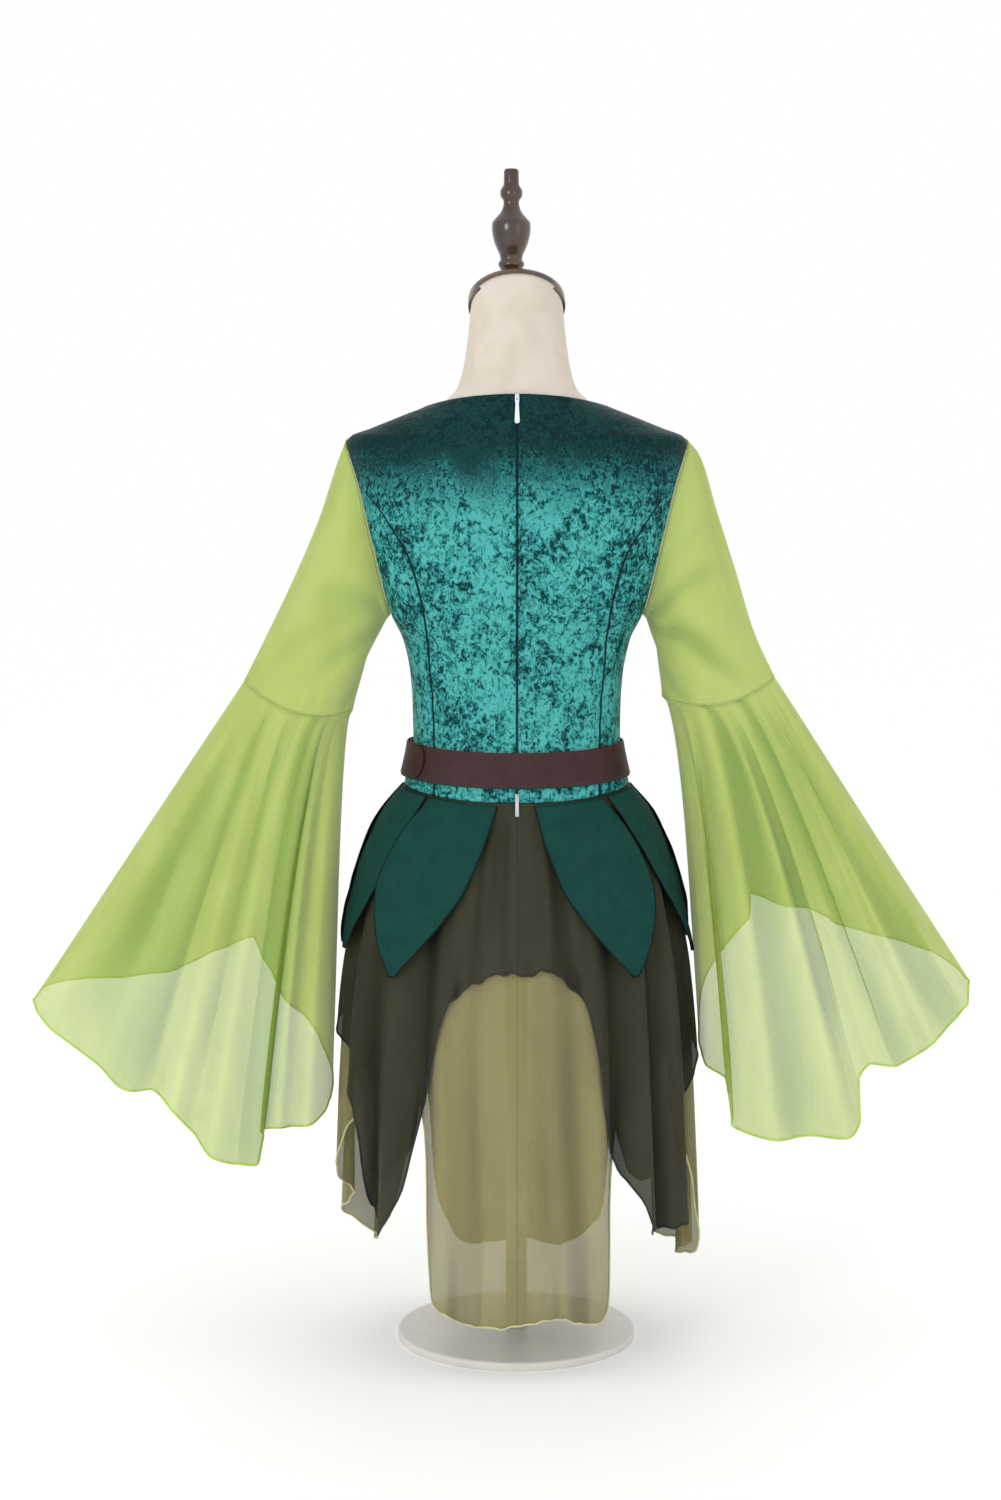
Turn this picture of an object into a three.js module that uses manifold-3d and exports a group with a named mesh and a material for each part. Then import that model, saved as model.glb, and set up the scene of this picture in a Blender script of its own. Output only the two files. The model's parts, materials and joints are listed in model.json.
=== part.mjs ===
// A fairy costume on a limbless dress form: velvet bodice, bell sleeves, petals and two skirt tiers.
// Millimetres, +Z up. The wearer's back faces -Y. The origin is the centre of the base's underside.
import * as THREE from 'three';
import { mergeVertices } from 'three/addons/utils/BufferGeometryUtils.js';
import Module from 'manifold-3d';

const wasm = await Module();
wasm.setup();

// Cloth walls and the gaps between them
const VELVET = 1.6;
const CHIFFON = 1.2;
const PETAL_CLOTH = 1.5;
const LEATHER = 2.5;
const EASE = 2.0;
const GAP = 0.4;
const SEAM_HALF_GAP = 0.15;
const FINE_GAP = 0.3;
const GRID_STEPS = 256;
const FORM_SINK = 2.2;
const BODICE_OUT = EASE + VELVET;
const KHAKI_MID = EASE + CHIFFON / 2;
const DARK_MID = KHAKI_MID + CHIFFON + GAP;
const PETAL_MID = DARK_MID + CHIFFON / 2 + GAP + PETAL_CLOTH / 2;
const SLEEVE_MID = BODICE_OUT + GAP + CHIFFON / 2;

// Heights of the waist seam, the armhole, the shoulder and the neckline
const SEAM_BACK = 622;
const SEAM_SIDE = 634;
const WAIST_BLEND = 700;
const ARMHOLE = { middle: 921.5, halfHigh: 95, halfDeep: 50 };
const PRINCESS_TOP = 962;
const SHOULDER_TIP = 1016.5;
const NECK_POINT = 1053.5;
const NECK_BACK = 1066;
const NECK_FRONT = 945;
const NECK_TOP = 1164;
const FORM_BOTTOM = 520;

// The form at each height: half width, depth to the back and to the front, squareness of the section
const BODY = table(['z', 'half', 'back', 'front', 'square', 'tilt'], [
  [500, 134, 112, 96, 2.3, 0],
  [570, 136, 110, 95, 2.3, 0],
  [613, 127, 99, 89, 2.3, 0],
  [634, 122.5, 93, 86, 2.3, 0],
  [690, 112, 85, 85, 2.3, 0],
  [726, 112.5, 84, 87, 2.3, 0],
  [760, 115, 86, 93, 2.3, 0],
  [798, 123, 90, 102, 2.4, 0],
  [826, 136, 94, 108, 2.8, 0],
  [870, 150, 97, 112, 3.3, 0],
  [921, 163, 98, 106, 3.6, 0],
  [975, 176, 96, 92, 3.2, 0],
  [1000, 183, 90, 80, 2.8, 0],
  [1012, 185.5, 84, 72, 2.5, 0],
  [1018, 182, 81, 69, 2.4, 0],
  [1026, 162, 76, 65, 2.3, 0],
  [1036, 137, 70, 60, 2.3, 0],
  [1047, 109, 64, 57, 2.2, 0],
  [1056, 88, 60, 55, 2.2, 0],
  [1064, 75, 57, 53, 2.2, 0],
  [1074, 66, 55, 52, 2.1, 0],
  [1092, 60, 53, 51, 2.1, 0.08],
  [1130, 54, 51, 49, 2.1, 0.34],
  [1164, 50.5, 49, 48, 2.1, 0.66],
]);
const BUST = { out: 9, x: 70, z: 882, wide: 48, high: 54, fullFrom: 60 };
const FORM_ROWS = [520, 570, 605, 640, 690, 730, 765, 798, 826, 850, 885, 925, 962, 988, 1004, 1012,
  1018, 1026, 1036, 1047, 1056, 1064, 1074, 1092, 1130, 1164];
const FORM_AROUND = 32;

// Half width of the centre panels at each height, at the princess seams
const PRINCESS_BACK = table(['z', 'x'], [
  [613, 90], [686, 89], [775, 94], [830, 100], [889, 116], [925, 136], [950, 153], [962, 165], [985, 200],
]);
const PRINCESS_FRONT = table(['z', 'x'], [
  [613, 68], [690, 62], [775, 68], [850, 80], [900, 96], [935, 122], [962, 158], [985, 200],
]);

// Rows of the bodice panels, and the places of the points across a centre panel and a side panel
const LEVELS = [622, 655, 690, 725, 760, 795, 815, 826.5, 831, 840, 856, 880, 910, 940, 962,
  985, 1004, 1016.5, 1023, 1033, 1043, 1053.5];
const ACROSS_BACK = [0, 0.34, 0.64, 0.84, 0.95, 1];
const ACROSS_FRONT = [0, 0.24, 0.46, 0.66, 0.82, 0.92, 0.97, 0.99, 1];
const ACROSS_SIDE = [0, 0.34, 0.67, 1];
const NECK_CURVE = { front: 2.4, back: 2 };

// How far the skirt flares out of the waist seam, and how deep its folds are
const FLARE = table(['below', 'side', 'deep', 'valley'], [
  [0, 0, 0, 0],
  [30, 20, 14, 1],
  [60, 35, 28, 3],
  [100, 49, 43, 8],
  [150, 60, 56, 13],
  [200, 69, 66, 18],
  [280, 77, 75, 23],
  [380, 83, 80, 27],
  [480, 88, 83, 29],
  [600, 92, 86, 31],
]);
const TIER_SPREAD = { most: 4.6, below: 120 };
const SKIRT_SQUARE = 2.2;
const SKIRT_AROUND = 72;
const DOWN = [0, 0.05, 0.12, 0.22, 0.36, 0.54, 0.76, 1];

// Ridges of the skirt folds, as turns from centre back, with the share of the full depth before each
const RIDGES = table(['turn', 'share'], [
  [-180, 0.8], [-155, 1.0], [-131, 0.8], [-108, 1.0], [-84, 0.7], [-62, 1.0], [-41, 0.75], [-21, 0.9],
  [0, 0.35], [23, 0.5], [41, 1.0], [60, 0.8], [83, 1.0], [107, 0.85], [130, 1.0], [154, 0.7], [180, 0.8],
]);

// Height of each hem at each turn from centre back, the wearer's right side being positive
const DARK_HEM = table(['turn', 'z'], [
  [-180, 440], [-160, 418], [-150, 330], [-143, 190], [-134, 152], [-126, 175], [-118, 270], [-105, 350],
  [-90, 382], [-82, 352], [-72, 326], [-63, 298], [-58, 262], [-56, 215], [-54, 178], [-50, 163],
  [-45, 156], [-40, 170], [-36, 205], [-33, 262], [-29, 318], [-24, 378], [-19, 414], [-12, 438],
  [0, 447], [7, 449], [14, 436], [19, 422], [22, 385], [26, 300], [31, 245], [37, 205],
  [42, 164], [48, 152], [54, 151], [59, 154], [63, 172], [67, 224], [72, 270], [78, 300],
  [84, 325], [90, 352], [105, 345], [118, 290], [127, 180], [136, 150], [145, 200], [152, 340],
  [162, 425], [180, 440],
]);
const KHAKI_HEM = table(['turn', 'z'], [
  [-180, 64], [-164, 70], [-157, 110], [-152, 240], [-147, 335], [-141, 200], [-135, 104], [-127, 84],
  [-119, 98], [-110, 124], [-102, 146], [-94, 168], [-86, 196], [-78, 256], [-68, 306], [-56, 336],
  [-44, 350], [-36, 330], [-31, 270], [-28, 160], [-25, 92], [-19, 71], [-12, 62], [-5, 60],
  [3, 68], [11, 66], [20, 63], [25, 70], [28, 96], [31, 190], [35, 300], [44, 366],
  [56, 352], [66, 312], [74, 268], [79, 205], [83, 140], [87, 100], [95, 94], [106, 95],
  [117, 99], [121, 130], [126, 235], [134, 345], [143, 330], [149, 200], [154, 100], [164, 68],
  [180, 64],
]);

// Petals: turn at the root and at the tip, length, half width in degrees, and layer over the skirt
const PETALS = [
  { name: 'petal_back_left', root: -26.5, tip: -40.5, long: 189, half: 19.5, layer: 1 },
  { name: 'petal_back_right', root: 25.5, tip: 37.5, long: 187, half: 19.5, layer: 1 },
  { name: 'petal_side_left', root: -67, tip: -77, long: 178, half: 19.5, layer: 0 },
  { name: 'petal_side_right', root: 67, tip: 83, long: 184, half: 19.5, layer: 0 },
  { name: 'petal_front_side_left', root: -112, tip: -101, long: 184, half: 19.5, layer: 1 },
  { name: 'petal_front_side_right', root: 112, tip: 104, long: 178, half: 19.5, layer: 1 },
  { name: 'petal_front_left', root: -155, tip: -143, long: 186, half: 19.5, layer: 0 },
  { name: 'petal_front_right', root: 155, tip: 142, long: 190, half: 19.5, layer: 0 },
];
const LEAF = table(['along', 'wide'], [
  [0, 0.96], [0.25, 1.05], [0.45, 1.02], [0.65, 0.8], [0.8, 0.52], [0.92, 0.24], [1, 0.05],
]);
const LEAF_ROWS = [0, 0.14, 0.3, 0.47, 0.64, 0.8, 0.92, 1];
const LEAF_ACROSS = [-1, -0.5, 0, 0.5, 1];
const PETAL_ROOT_SHARE = 0.25;
const PETAL_CLEAR = 2.4;
const PETAL_LAYER = 3.2;
const PETAL_SETTLE = 30;

// Belt: one strap round the waist whose round end laps over its start
const BELT = {
  half: 19.5, middleSide: 664, drop: 6, start: -98, end: 306, lapFrom: 222, lapTo: 252, step: 6.8, round: 8,
};
const BELT_END_ANGLES = [0, 25, 45, 62, 76, 84];
const BELT_LOOSE = 1.5;
const BELT_IN = BODICE_OUT + BELT_LOOSE;

// Upper sleeves: outer edge, inner edge and half depth of the section at each share of the length
const SLEEVE = {
  left: table(['along', 'outX', 'outZ', 'inX', 'inZ', 'deep'], [
    [0, 187, 1018, 141, 827, 50],
    [0.12, 197, 996, 149, 812, 55],
    [0.35, 219, 931, 160, 790, 60],
    [0.6, 246, 868, 170, 763, 60],
    [0.8, 272, 814, 178, 738, 58],
    [1, 303, 752, 184, 717, 55],
  ]),
  right: table(['along', 'outX', 'outZ', 'inX', 'inZ', 'deep'], [
    [0, 187, 1018, 141, 827, 50],
    [0.12, 202, 1000, 147, 812, 55],
    [0.35, 222, 938, 153, 792, 60],
    [0.6, 243, 874, 158, 769, 60],
    [0.8, 264, 806, 161, 750, 58],
    [1, 287, 756, 163, 733, 55],
  ]),
};
const ELBOW_SAG = 15;
const SLEEVE_ROWS = [0, 0.08, 0.22, 0.4, 0.6, 0.8, 1];
const SLEEVE_AROUND = 30;

// Bell flounces: the hem at each turn, from the outer edge (0) over the back (90) and the inner edge (180)
const BELL = {
  left: table(['turn', 'x', 'y', 'z'], [
    [0, -547, 0, 389], [15, -532, -45, 378], [28, -504, -88, 363], [40, -465, -70, 332],
    [52, -428, -118, 309], [64, -402, -84, 305], [76, -376, -126, 287], [88, -356, -90, 258],
    [100, -334, -130, 237], [112, -308, -100, 225], [122, -287, -122, 227], [130, -282, -86, 258],
    [140, -262, -112, 266], [150, -249, -74, 261], [162, -230, -92, 263], [174, -212, -45, 276],
    [188, -209, 10, 290], [204, -223, 60, 326], [218, -243, 98, 350], [232, -268, 78, 372],
    [246, -290, 112, 408], [260, -306, 76, 446], [275, -343, 112, 428], [290, -375, 84, 416],
    [305, -409, 112, 401], [320, -450, 76, 400], [336, -500, 52, 403], [350, -536, 25, 400],
    [360, -547, 0, 389],
  ]),
  right: table(['turn', 'x', 'y', 'z'], [
    [0, 511, 0, 411], [12, 504, -44, 396], [22, 495, -84, 394], [32, 482, -62, 374],
    [42, 458, -106, 360], [52, 445, -74, 344], [64, 413, -118, 335], [76, 390, -84, 334],
    [84, 374, -116, 318], [91, 378, -86, 266], [99, 363, -112, 254], [110, 325, -84, 253],
    [122, 286, -120, 253], [134, 249, -88, 259], [143, 236, -112, 272], [151, 235, -78, 297],
    [159, 230, -94, 317], [169, 211, -58, 326], [182, 206, -14, 340], [196, 211, 34, 384],
    [210, 224, 70, 415], [224, 250, 102, 443], [238, 266, 78, 466], [250, 273, 110, 494],
    [264, 308, 80, 483], [278, 345, 112, 475], [292, 372, 80, 461], [308, 408, 106, 450],
    [324, 440, 68, 445], [340, 476, 52, 434], [352, 501, 24, 420], [360, 511, 0, 411],
  ]),
};
const BELL_AROUND = 44;
const BELL_ROWS = [0, 0.07, 0.18, 0.32, 0.48, 0.66, 0.84, 1];
const BELL_SEAM = 0.9;
const BELL_CURVE = { outer: 1, inner: 0.5, depth: 0.8 };

// Zip slider, its pull tab, and the tape's end under the waist seam
const ZIP = { z: 1061, plateWide: 4.4, plateLong: 8, plateThick: 1.2, hole: 1.2, ring: 2.2, ringWide: 1.2 };
const PULL = { long: 31, half: 2.3, endHalf: 2.8, thick: 1.2, bar: 0.6, windowHalf: 1.2, windowLong: 3.6,
  shoulder: 4.6, neck: 8 };
const PULL_TIP_Z = 1033;
const TAIL = { half: 2, thick: 1, top: 633, bottomBelow: 11 };

// Neck cap, finial, pole and base of the form
const CAP = {
  tilt: 33, rim: 53, rimHigh: 11, foot: 50, footHigh: 3, lip: 49, lipFrom: 7,
  shoulder: 37.1, shoulderHigh: 16.4, dome: 12, flat: 21, aboveNeck: 1.2,
};
const FINIAL_X = -6;
const FINIAL_TOP = 1314;
const FINIAL = table(['up', 'radius'], [
  [0, 14.5], [14, 12.5], [24, 14.2], [28, 12.4], [33, 13], [47, 19], [62, 21.5], [69, 20.5], [76, 15],
  [86, 9], [92, 8.5], [97, 12], [104, 12.4], [109, 9.6], [112, 8.4], [124, 8.4], [127, 7],
]);
const POLE = { radius: 12, gap: FINE_GAP };
const BASE = { radius: 135, high: 10, edge: 2 };
const LATHE_AROUND = 28;
const FINIAL_AROUND = 18;
const BASE_AROUND = 36;

const COLOURS = {
  velvet: { color: 0x0f6a68, roughness: 0.6, metalness: 0 },
  petal: { color: 0x1e4a46, roughness: 0.8, metalness: 0 },
  lime: { color: 0xb4c88a, roughness: 0.7, metalness: 0 },
  khaki: { color: 0x96905e, roughness: 0.75, metalness: 0 },
  dark: { color: 0x3c3c2c, roughness: 0.75, metalness: 0 },
  leather: { color: 0x41282a, roughness: 0.55, metalness: 0 },
  linen: { color: 0xebded2, roughness: 0.9, metalness: 0 },
  wood: { color: 0x2b1c14, roughness: 0.35, metalness: 0 },
  white: { color: 0xe8ecee, roughness: 0.4, metalness: 0 },
  stand: { color: 0xd8d4cc, roughness: 0.5, metalness: 0 },
};

// Tables: a row for each place, read smoothly between the rows without overshoot
function table(names, rows) {
  return { names, rows };
}

function read(tab, name, at) {
  const column = tab.names.indexOf(name);
  const rows = tab.rows;
  const last = rows.length - 1;
  if (at <= rows[0][0]) return rows[0][column];
  if (at >= rows[last][0]) return rows[last][column];
  let i = 0;
  while (at > rows[i + 1][0]) i += 1;
  const chord = (k) => (rows[k + 1][column] - rows[k][column]) / (rows[k + 1][0] - rows[k][0]);
  const slope = (k) => {
    if (k === 0) return chord(0);
    if (k === last) return chord(last - 1);
    const before = chord(k - 1);
    const after = chord(k);
    return before * after <= 0 ? 0 : (2 * before * after) / (before + after);
  };
  const span = rows[i + 1][0] - rows[i][0];
  const t = (at - rows[i][0]) / span;
  const h = t * t * (3 - 2 * t);
  const rise = t * (1 - t) * (1 - t) * span * slope(i) - t * t * (1 - t) * span * slope(i + 1);
  return rows[i][column] * (1 - h) + rows[i + 1][column] * h + rise;
}

const radians = THREE.MathUtils.degToRad;
const mix = THREE.MathUtils.lerp;
const soft = (value) => THREE.MathUtils.smoothstep(value, 0, 1);
const power = (value, exponent) => Math.sign(value) * Math.abs(value) ** exponent;

// The form's surface. A turn of 0 is centre back, 90 the right side, 180 centre front.
function bustOut(x, z) {
  const across = (Math.abs(x) - BUST.x) / BUST.wide;
  const up = (z - BUST.z) / BUST.high;
  return BUST.out * Math.exp(-across * across - up * up);
}

function bodyLevel(x, y, z) {
  const front = y > 0;
  const square = read(BODY, 'square', z);
  const deep = read(BODY, front ? 'front' : 'back', z);
  const flatY = front ? Math.max(y - bustOut(x, z) * Math.min(1, y / BUST.fullFrom), 0) : -y;
  return (Math.abs(x) / read(BODY, 'half', z)) ** square + (flatY / deep) ** square;
}

function bodyPoint(turn, z, moved) {
  const square = read(BODY, 'square', z);
  const across = Math.sin(radians(turn));
  const along = -Math.cos(radians(turn));
  const deep = read(BODY, along > 0 ? 'front' : 'back', z);
  const x = read(BODY, 'half', z) * power(across, 2 / square);
  let y = deep * power(along, 2 / square);
  if (y > 0) y += bustOut(x, z) * Math.min(1, y / BUST.fullFrom);
  const step = 0.5;
  const slopeX = bodyLevel(x + step, y, z) - bodyLevel(x - step, y, z);
  const slopeY = bodyLevel(x, y + step, z) - bodyLevel(x, y - step, z);
  const slopeZ = bodyLevel(x, y, z + step) - bodyLevel(x, y, z - step);
  const normal = new THREE.Vector3(slopeX, slopeY, slopeZ).normalize();
  return new THREE.Vector3(x, y, z).addScaledVector(normal, moved);
}

function turnAtX(x, z, front) {
  const share = Math.min(1, Math.abs(x) / read(BODY, 'half', z));
  const angle = THREE.MathUtils.radToDeg(Math.asin(share ** (read(BODY, 'square', z) / 2)));
  return Math.sign(x || 1) * (front ? 180 - angle : angle);
}

function turnAtY(y, z, front) {
  const share = Math.min(1, Math.abs(y) / read(BODY, front ? 'front' : 'back', z));
  const angle = THREE.MathUtils.radToDeg(Math.acos(share ** (read(BODY, 'square', z) / 2)));
  return front ? 180 - angle : angle;
}

function armholeHalf(z) {
  const up = (z - ARMHOLE.middle) / ARMHOLE.halfHigh;
  return ARMHOLE.halfDeep * Math.sqrt(Math.max(0, 1 - up * up));
}

function waistSeam(turn) {
  return SEAM_SIDE - (SEAM_SIDE - SEAM_BACK) * Math.cos(radians(turn)) ** 2;
}

function overSeam(z, turn) {
  const share = THREE.MathUtils.clamp((WAIST_BLEND - z) / (WAIST_BLEND - SEAM_BACK), 0, 1);
  return z + (waistSeam(turn) - SEAM_BACK) * share;
}

// Solids from grids of points. The inner face's squares are split the same way as the outer ones
// where the cloth is folded, which keeps the wall even, and the other way on the form's smooth curve.
function solid(rings, closed, folded = false) {
  const wide = rings[0].length;
  const high = rings.length;
  const spots = [];
  rings.forEach((ring) => ring.forEach((pair) => spots.push(pair.out)));
  rings.forEach((ring) => ring.forEach((pair) => spots.push(pair.in)));
  const faces = [];
  const quad = (a, b, c, d) => faces.push(a, b, c, a, c, d);
  const outer = (i, j) => i * wide + (j % wide);
  const inner = (i, j) => high * wide + i * wide + (j % wide);
  const across = closed ? wide : wide - 1;
  for (let i = 0; i < high - 1; i += 1) {
    for (let j = 0; j < across; j += 1) {
      quad(outer(i, j), outer(i, j + 1), outer(i + 1, j + 1), outer(i + 1, j));
      if (folded) quad(inner(i, j), inner(i + 1, j), inner(i + 1, j + 1), inner(i, j + 1));
      else quad(inner(i, j + 1), inner(i, j), inner(i + 1, j), inner(i + 1, j + 1));
    }
  }
  for (let j = 0; j < across; j += 1) {
    quad(inner(0, j), inner(0, j + 1), outer(0, j + 1), outer(0, j));
    quad(outer(high - 1, j), outer(high - 1, j + 1), inner(high - 1, j + 1), inner(high - 1, j));
  }
  if (!closed) {
    for (let i = 0; i < high - 1; i += 1) {
      quad(inner(i, 0), outer(i, 0), outer(i + 1, 0), inner(i + 1, 0));
      quad(outer(i, wide - 1), inner(i, wide - 1), inner(i + 1, wide - 1), outer(i + 1, wide - 1));
    }
  }
  return outward(spots, faces);
}

// Points lie on a fine grid whose steps stay exact in every file format
function onGrid(value) {
  return Math.round(value * GRID_STEPS) / GRID_STEPS;
}

function outward(spots, faces) {
  spots.forEach((spot) => spot.set(onGrid(spot.x), onGrid(spot.y), onGrid(spot.z)));
  let volume = 0;
  for (let k = 0; k < faces.length; k += 3) {
    const [a, b, c] = [spots[faces[k]], spots[faces[k + 1]], spots[faces[k + 2]]];
    volume += a.dot(b.clone().cross(c));
  }
  if (volume < 0) faces.reverse();
  const geometry = new THREE.BufferGeometry().setFromPoints(spots);
  geometry.setIndex(faces);
  geometry.computeVertexNormals();
  return geometry;
}

// A wall of even thickness round a sheet of points
function clothWall(sheet, thick, closed) {
  const high = sheet.length;
  const wide = sheet[0].length;
  const rings = sheet.map((row, i) => row.map((spot, j) => {
    const left = closed ? (j + wide - 1) % wide : Math.max(j - 1, 0);
    const right = closed ? (j + 1) % wide : Math.min(j + 1, wide - 1);
    const across = row[right].clone().sub(row[left]);
    const along = sheet[Math.min(i + 1, high - 1)][j].clone().sub(sheet[Math.max(i - 1, 0)][j]);
    const normal = across.cross(along).normalize();
    return {
      out: spot.clone().addScaledVector(normal, thick / 2),
      in: spot.clone().addScaledVector(normal, -thick / 2),
    };
  }));
  return solid(rings, closed, true);
}

function lathe(radiusAndHeight, around = LATHE_AROUND) {
  const points = radiusAndHeight.map(([radius, height]) => new THREE.Vector2(radius, height));
  const geometry = new THREE.LatheGeometry(points, around);
  geometry.rotateX(Math.PI / 2);
  geometry.deleteAttribute('normal');
  geometry.deleteAttribute('uv');
  return mergeVertices(geometry, 1e-4);
}

function plain(geometry) {
  const bare = geometry.index ? geometry.toNonIndexed() : geometry.clone();
  bare.deleteAttribute('normal');
  bare.deleteAttribute('uv');
  return mergeVertices(bare, 1e-4);
}

function joined(first, second) {
  const toSolid = (geometry) => {
    const bare = plain(geometry);
    return new wasm.Manifold(new wasm.Mesh({
      numProp: 3,
      vertProperties: new Float32Array(bare.attributes.position.array),
      triVerts: new Uint32Array(bare.index.array),
    }));
  };
  const mesh = toSolid(first).add(toSolid(second)).getMesh();
  const geometry = new THREE.BufferGeometry();
  geometry.setAttribute('position', new THREE.BufferAttribute(mesh.vertProperties, 3));
  geometry.setIndex(new THREE.BufferAttribute(mesh.triVerts, 1));
  return geometry;
}

const costume = new THREE.Group();

function addPiece(name, geometry, finish) {
  const mesh = new THREE.Mesh(geometry, new THREE.MeshStandardMaterial(COLOURS[finish]));
  mesh.name = name;
  costume.add(mesh);
  return mesh;
}

// Bodice
function bodicePair(turn, z) {
  return { out: bodyPoint(turn, z, BODICE_OUT), in: bodyPoint(turn, z, EASE) };
}

function princess(z, front) {
  return read(front ? PRINCESS_FRONT : PRINCESS_BACK, 'x', z);
}

function centreEdge(z, front) {
  const armhole = Math.abs(bodyPoint(turnAtY(Math.max(armholeHalf(z), SEAM_HALF_GAP), z, front), z, 0).x);
  if (z > PRINCESS_TOP) return armhole;
  return princess(z, front) - SEAM_HALF_GAP;
}

function centreHeight(level, front) {
  if (front) return mix(SEAM_BACK, NECK_FRONT, (level - SEAM_BACK) / (NECK_POINT - SEAM_BACK));
  return level + (NECK_BACK - NECK_POINT) * soft((level - SHOULDER_TIP) / (NECK_POINT - SHOULDER_TIP));
}

function centrePoint(share, level, side, start, front) {
  const edge = centreEdge(level, front);
  const middle = centreHeight(level, front);
  const z = middle + (level - middle) * share ** (front ? NECK_CURVE.front : NECK_CURVE.back);
  const x = side * mix(start, edge, share);
  const onEdge = share === 1 && level >= SHOULDER_TIP;
  const turn = onEdge ? side * turnAtY(SEAM_HALF_GAP, z, front) : turnAtX(x, z, front);
  return bodicePair(turn, overSeam(z, turn));
}

function centreBack(side) {
  const rows = LEVELS.map((level) => (
    ACROSS_BACK.map((share) => centrePoint(share, level, side, SEAM_HALF_GAP, false))));
  return solid(rows, false);
}

function centreFront() {
  const rows = LEVELS.map((level) => {
    const right = ACROSS_FRONT.map((share) => centrePoint(share, level, 1, 0, true));
    const left = ACROSS_FRONT.slice(1).map((share) => centrePoint(share, level, -1, 0, true));
    return [...left.reverse(), ...right];
  });
  return solid(rows, false);
}

// The points of a row run the way of the turn, so that the faces point outwards
function sidePanel(side, front) {
  const shares = (side > 0) === front ? [...ACROSS_SIDE].reverse() : ACROSS_SIDE;
  const rows = LEVELS.filter((level) => level <= PRINCESS_TOP).map((level) => {
    const near = turnAtX(princess(level, front) + SEAM_HALF_GAP, level, front);
    const far = turnAtY(Math.max(armholeHalf(level), SEAM_HALF_GAP), level, front);
    return shares.map((share) => {
      const turn = side * mix(near, far, share);
      return bodicePair(turn, overSeam(level, turn));
    });
  });
  return solid(rows, false);
}

// Skirt tiers and petals
function foldWave(turn) {
  const rows = RIDGES.rows;
  let i = 0;
  while (i < rows.length - 2 && turn > rows[i + 1][0]) i += 1;
  const phase = (turn - rows[i][0]) / (rows[i + 1][0] - rows[i][0]);
  return rows[i + 1][1] * (0.5 - 0.5 * Math.cos(2 * Math.PI * phase));
}

function skirtPoint(turn, below, moved, folded) {
  const seam = waistSeam(turn);
  const across = Math.sin(radians(turn));
  const along = -Math.cos(radians(turn));
  const half = read(BODY, 'half', seam) + read(FLARE, 'side', below);
  const deep = read(BODY, along > 0 ? 'front' : 'back', seam) + read(FLARE, 'deep', below);
  const x = half * power(across, 2 / SKIRT_SQUARE);
  const y = deep * power(along, 2 / SKIRT_SQUARE);
  const out = new THREE.Vector3(across * deep, along * half, 0).normalize();
  const inwards = folded ? foldWave(turn) * read(FLARE, 'valley', below) : 0;
  return new THREE.Vector3(x, y, seam - GAP - below).addScaledVector(out, moved - inwards);
}

function tier(hem, mid, spread) {
  const sheet = DOWN.map((share) => Array.from({ length: SKIRT_AROUND }, (_, k) => {
    const turn = -180 + (360 * k) / SKIRT_AROUND;
    const below = (waistSeam(turn) - GAP - read(hem, 'z', turn)) * share;
    const inside = spread ? TIER_SPREAD.most * soft(below / TIER_SPREAD.below) : 0;
    return skirtPoint(turn, below, mid - inside, true);
  }));
  return clothWall(sheet, CHIFFON, true);
}

function petal({ root, tip, long, half, layer }) {
  const sheet = LEAF_ROWS.map((along) => LEAF_ACROSS.map((across) => {
    const turn = mix(root, tip, Math.sin((along * Math.PI) / 2)) + across * half * read(LEAF, 'wide', along);
    const below = along * long;
    const settled = Math.min(1, below / PETAL_SETTLE);
    const lift = PETAL_CLEAR * Math.min(1, PETAL_ROOT_SHARE + settled) + layer * PETAL_LAYER * settled;
    return skirtPoint(turn, below, PETAL_MID + lift, false);
  }));
  return clothWall(sheet, PETAL_CLOTH, false);
}

// Belt
function beltRow(turn, halfHigh) {
  const middle = BELT.middleSide - BELT.drop * Math.cos(radians(turn)) ** 2;
  const lift = (LEATHER + GAP) * soft((turn - BELT.lapFrom) / (BELT.lapTo - BELT.lapFrom));
  return [-1, 1].map((edge) => {
    const z = middle + edge * halfHigh;
    return {
      out: bodyPoint(turn, z, BELT_IN + lift + LEATHER),
      in: bodyPoint(turn, z, BELT_IN + lift),
    };
  });
}

function belt() {
  const rows = [];
  const roundFrom = BELT.end - BELT.round;
  for (let turn = BELT.start; turn < roundFrom; turn += BELT.step) rows.push(beltRow(turn, BELT.half));
  BELT_END_ANGLES.forEach((angle) => {
    const turn = roundFrom + (BELT.end - roundFrom) * Math.sin(radians(angle));
    rows.push(beltRow(turn, BELT.half * Math.cos(radians(angle))));
  });
  return solid(rows, false);
}

// Sleeves. Round the section, 0 is the outer edge, 90 the back, 180 the inner edge, 270 the front.
function armholePoint(side, turn) {
  const z = ARMHOLE.middle + ARMHOLE.halfHigh * Math.cos(radians(turn));
  const front = Math.sin(radians(turn)) < 0;
  const y = Math.max(Math.abs(ARMHOLE.halfDeep * Math.sin(radians(turn))), SEAM_HALF_GAP);
  return bodyPoint(side * turnAtY(y, z, front), z, SLEEVE_MID);
}

function sectionPoint(sections, side, turn, along) {
  const at = (name) => read(sections, name, along);
  const sideways = Math.cos(radians(turn));
  const back = Math.sin(radians(turn));
  const x = (at('outX') + at('inX')) / 2 + ((at('outX') - at('inX')) / 2) * sideways;
  const z = (at('outZ') + at('inZ')) / 2 + ((at('outZ') - at('inZ')) / 2) * sideways;
  return new THREE.Vector3(side * x, -at('deep') * back, z - ELBOW_SAG * along * back * back);
}

function upperPoint(sections, side, turn, along) {
  const start = armholePoint(side, turn).sub(sectionPoint(sections, side, turn, 0));
  return sectionPoint(sections, side, turn, along).addScaledVector(start, (1 - along) ** 3);
}

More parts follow.
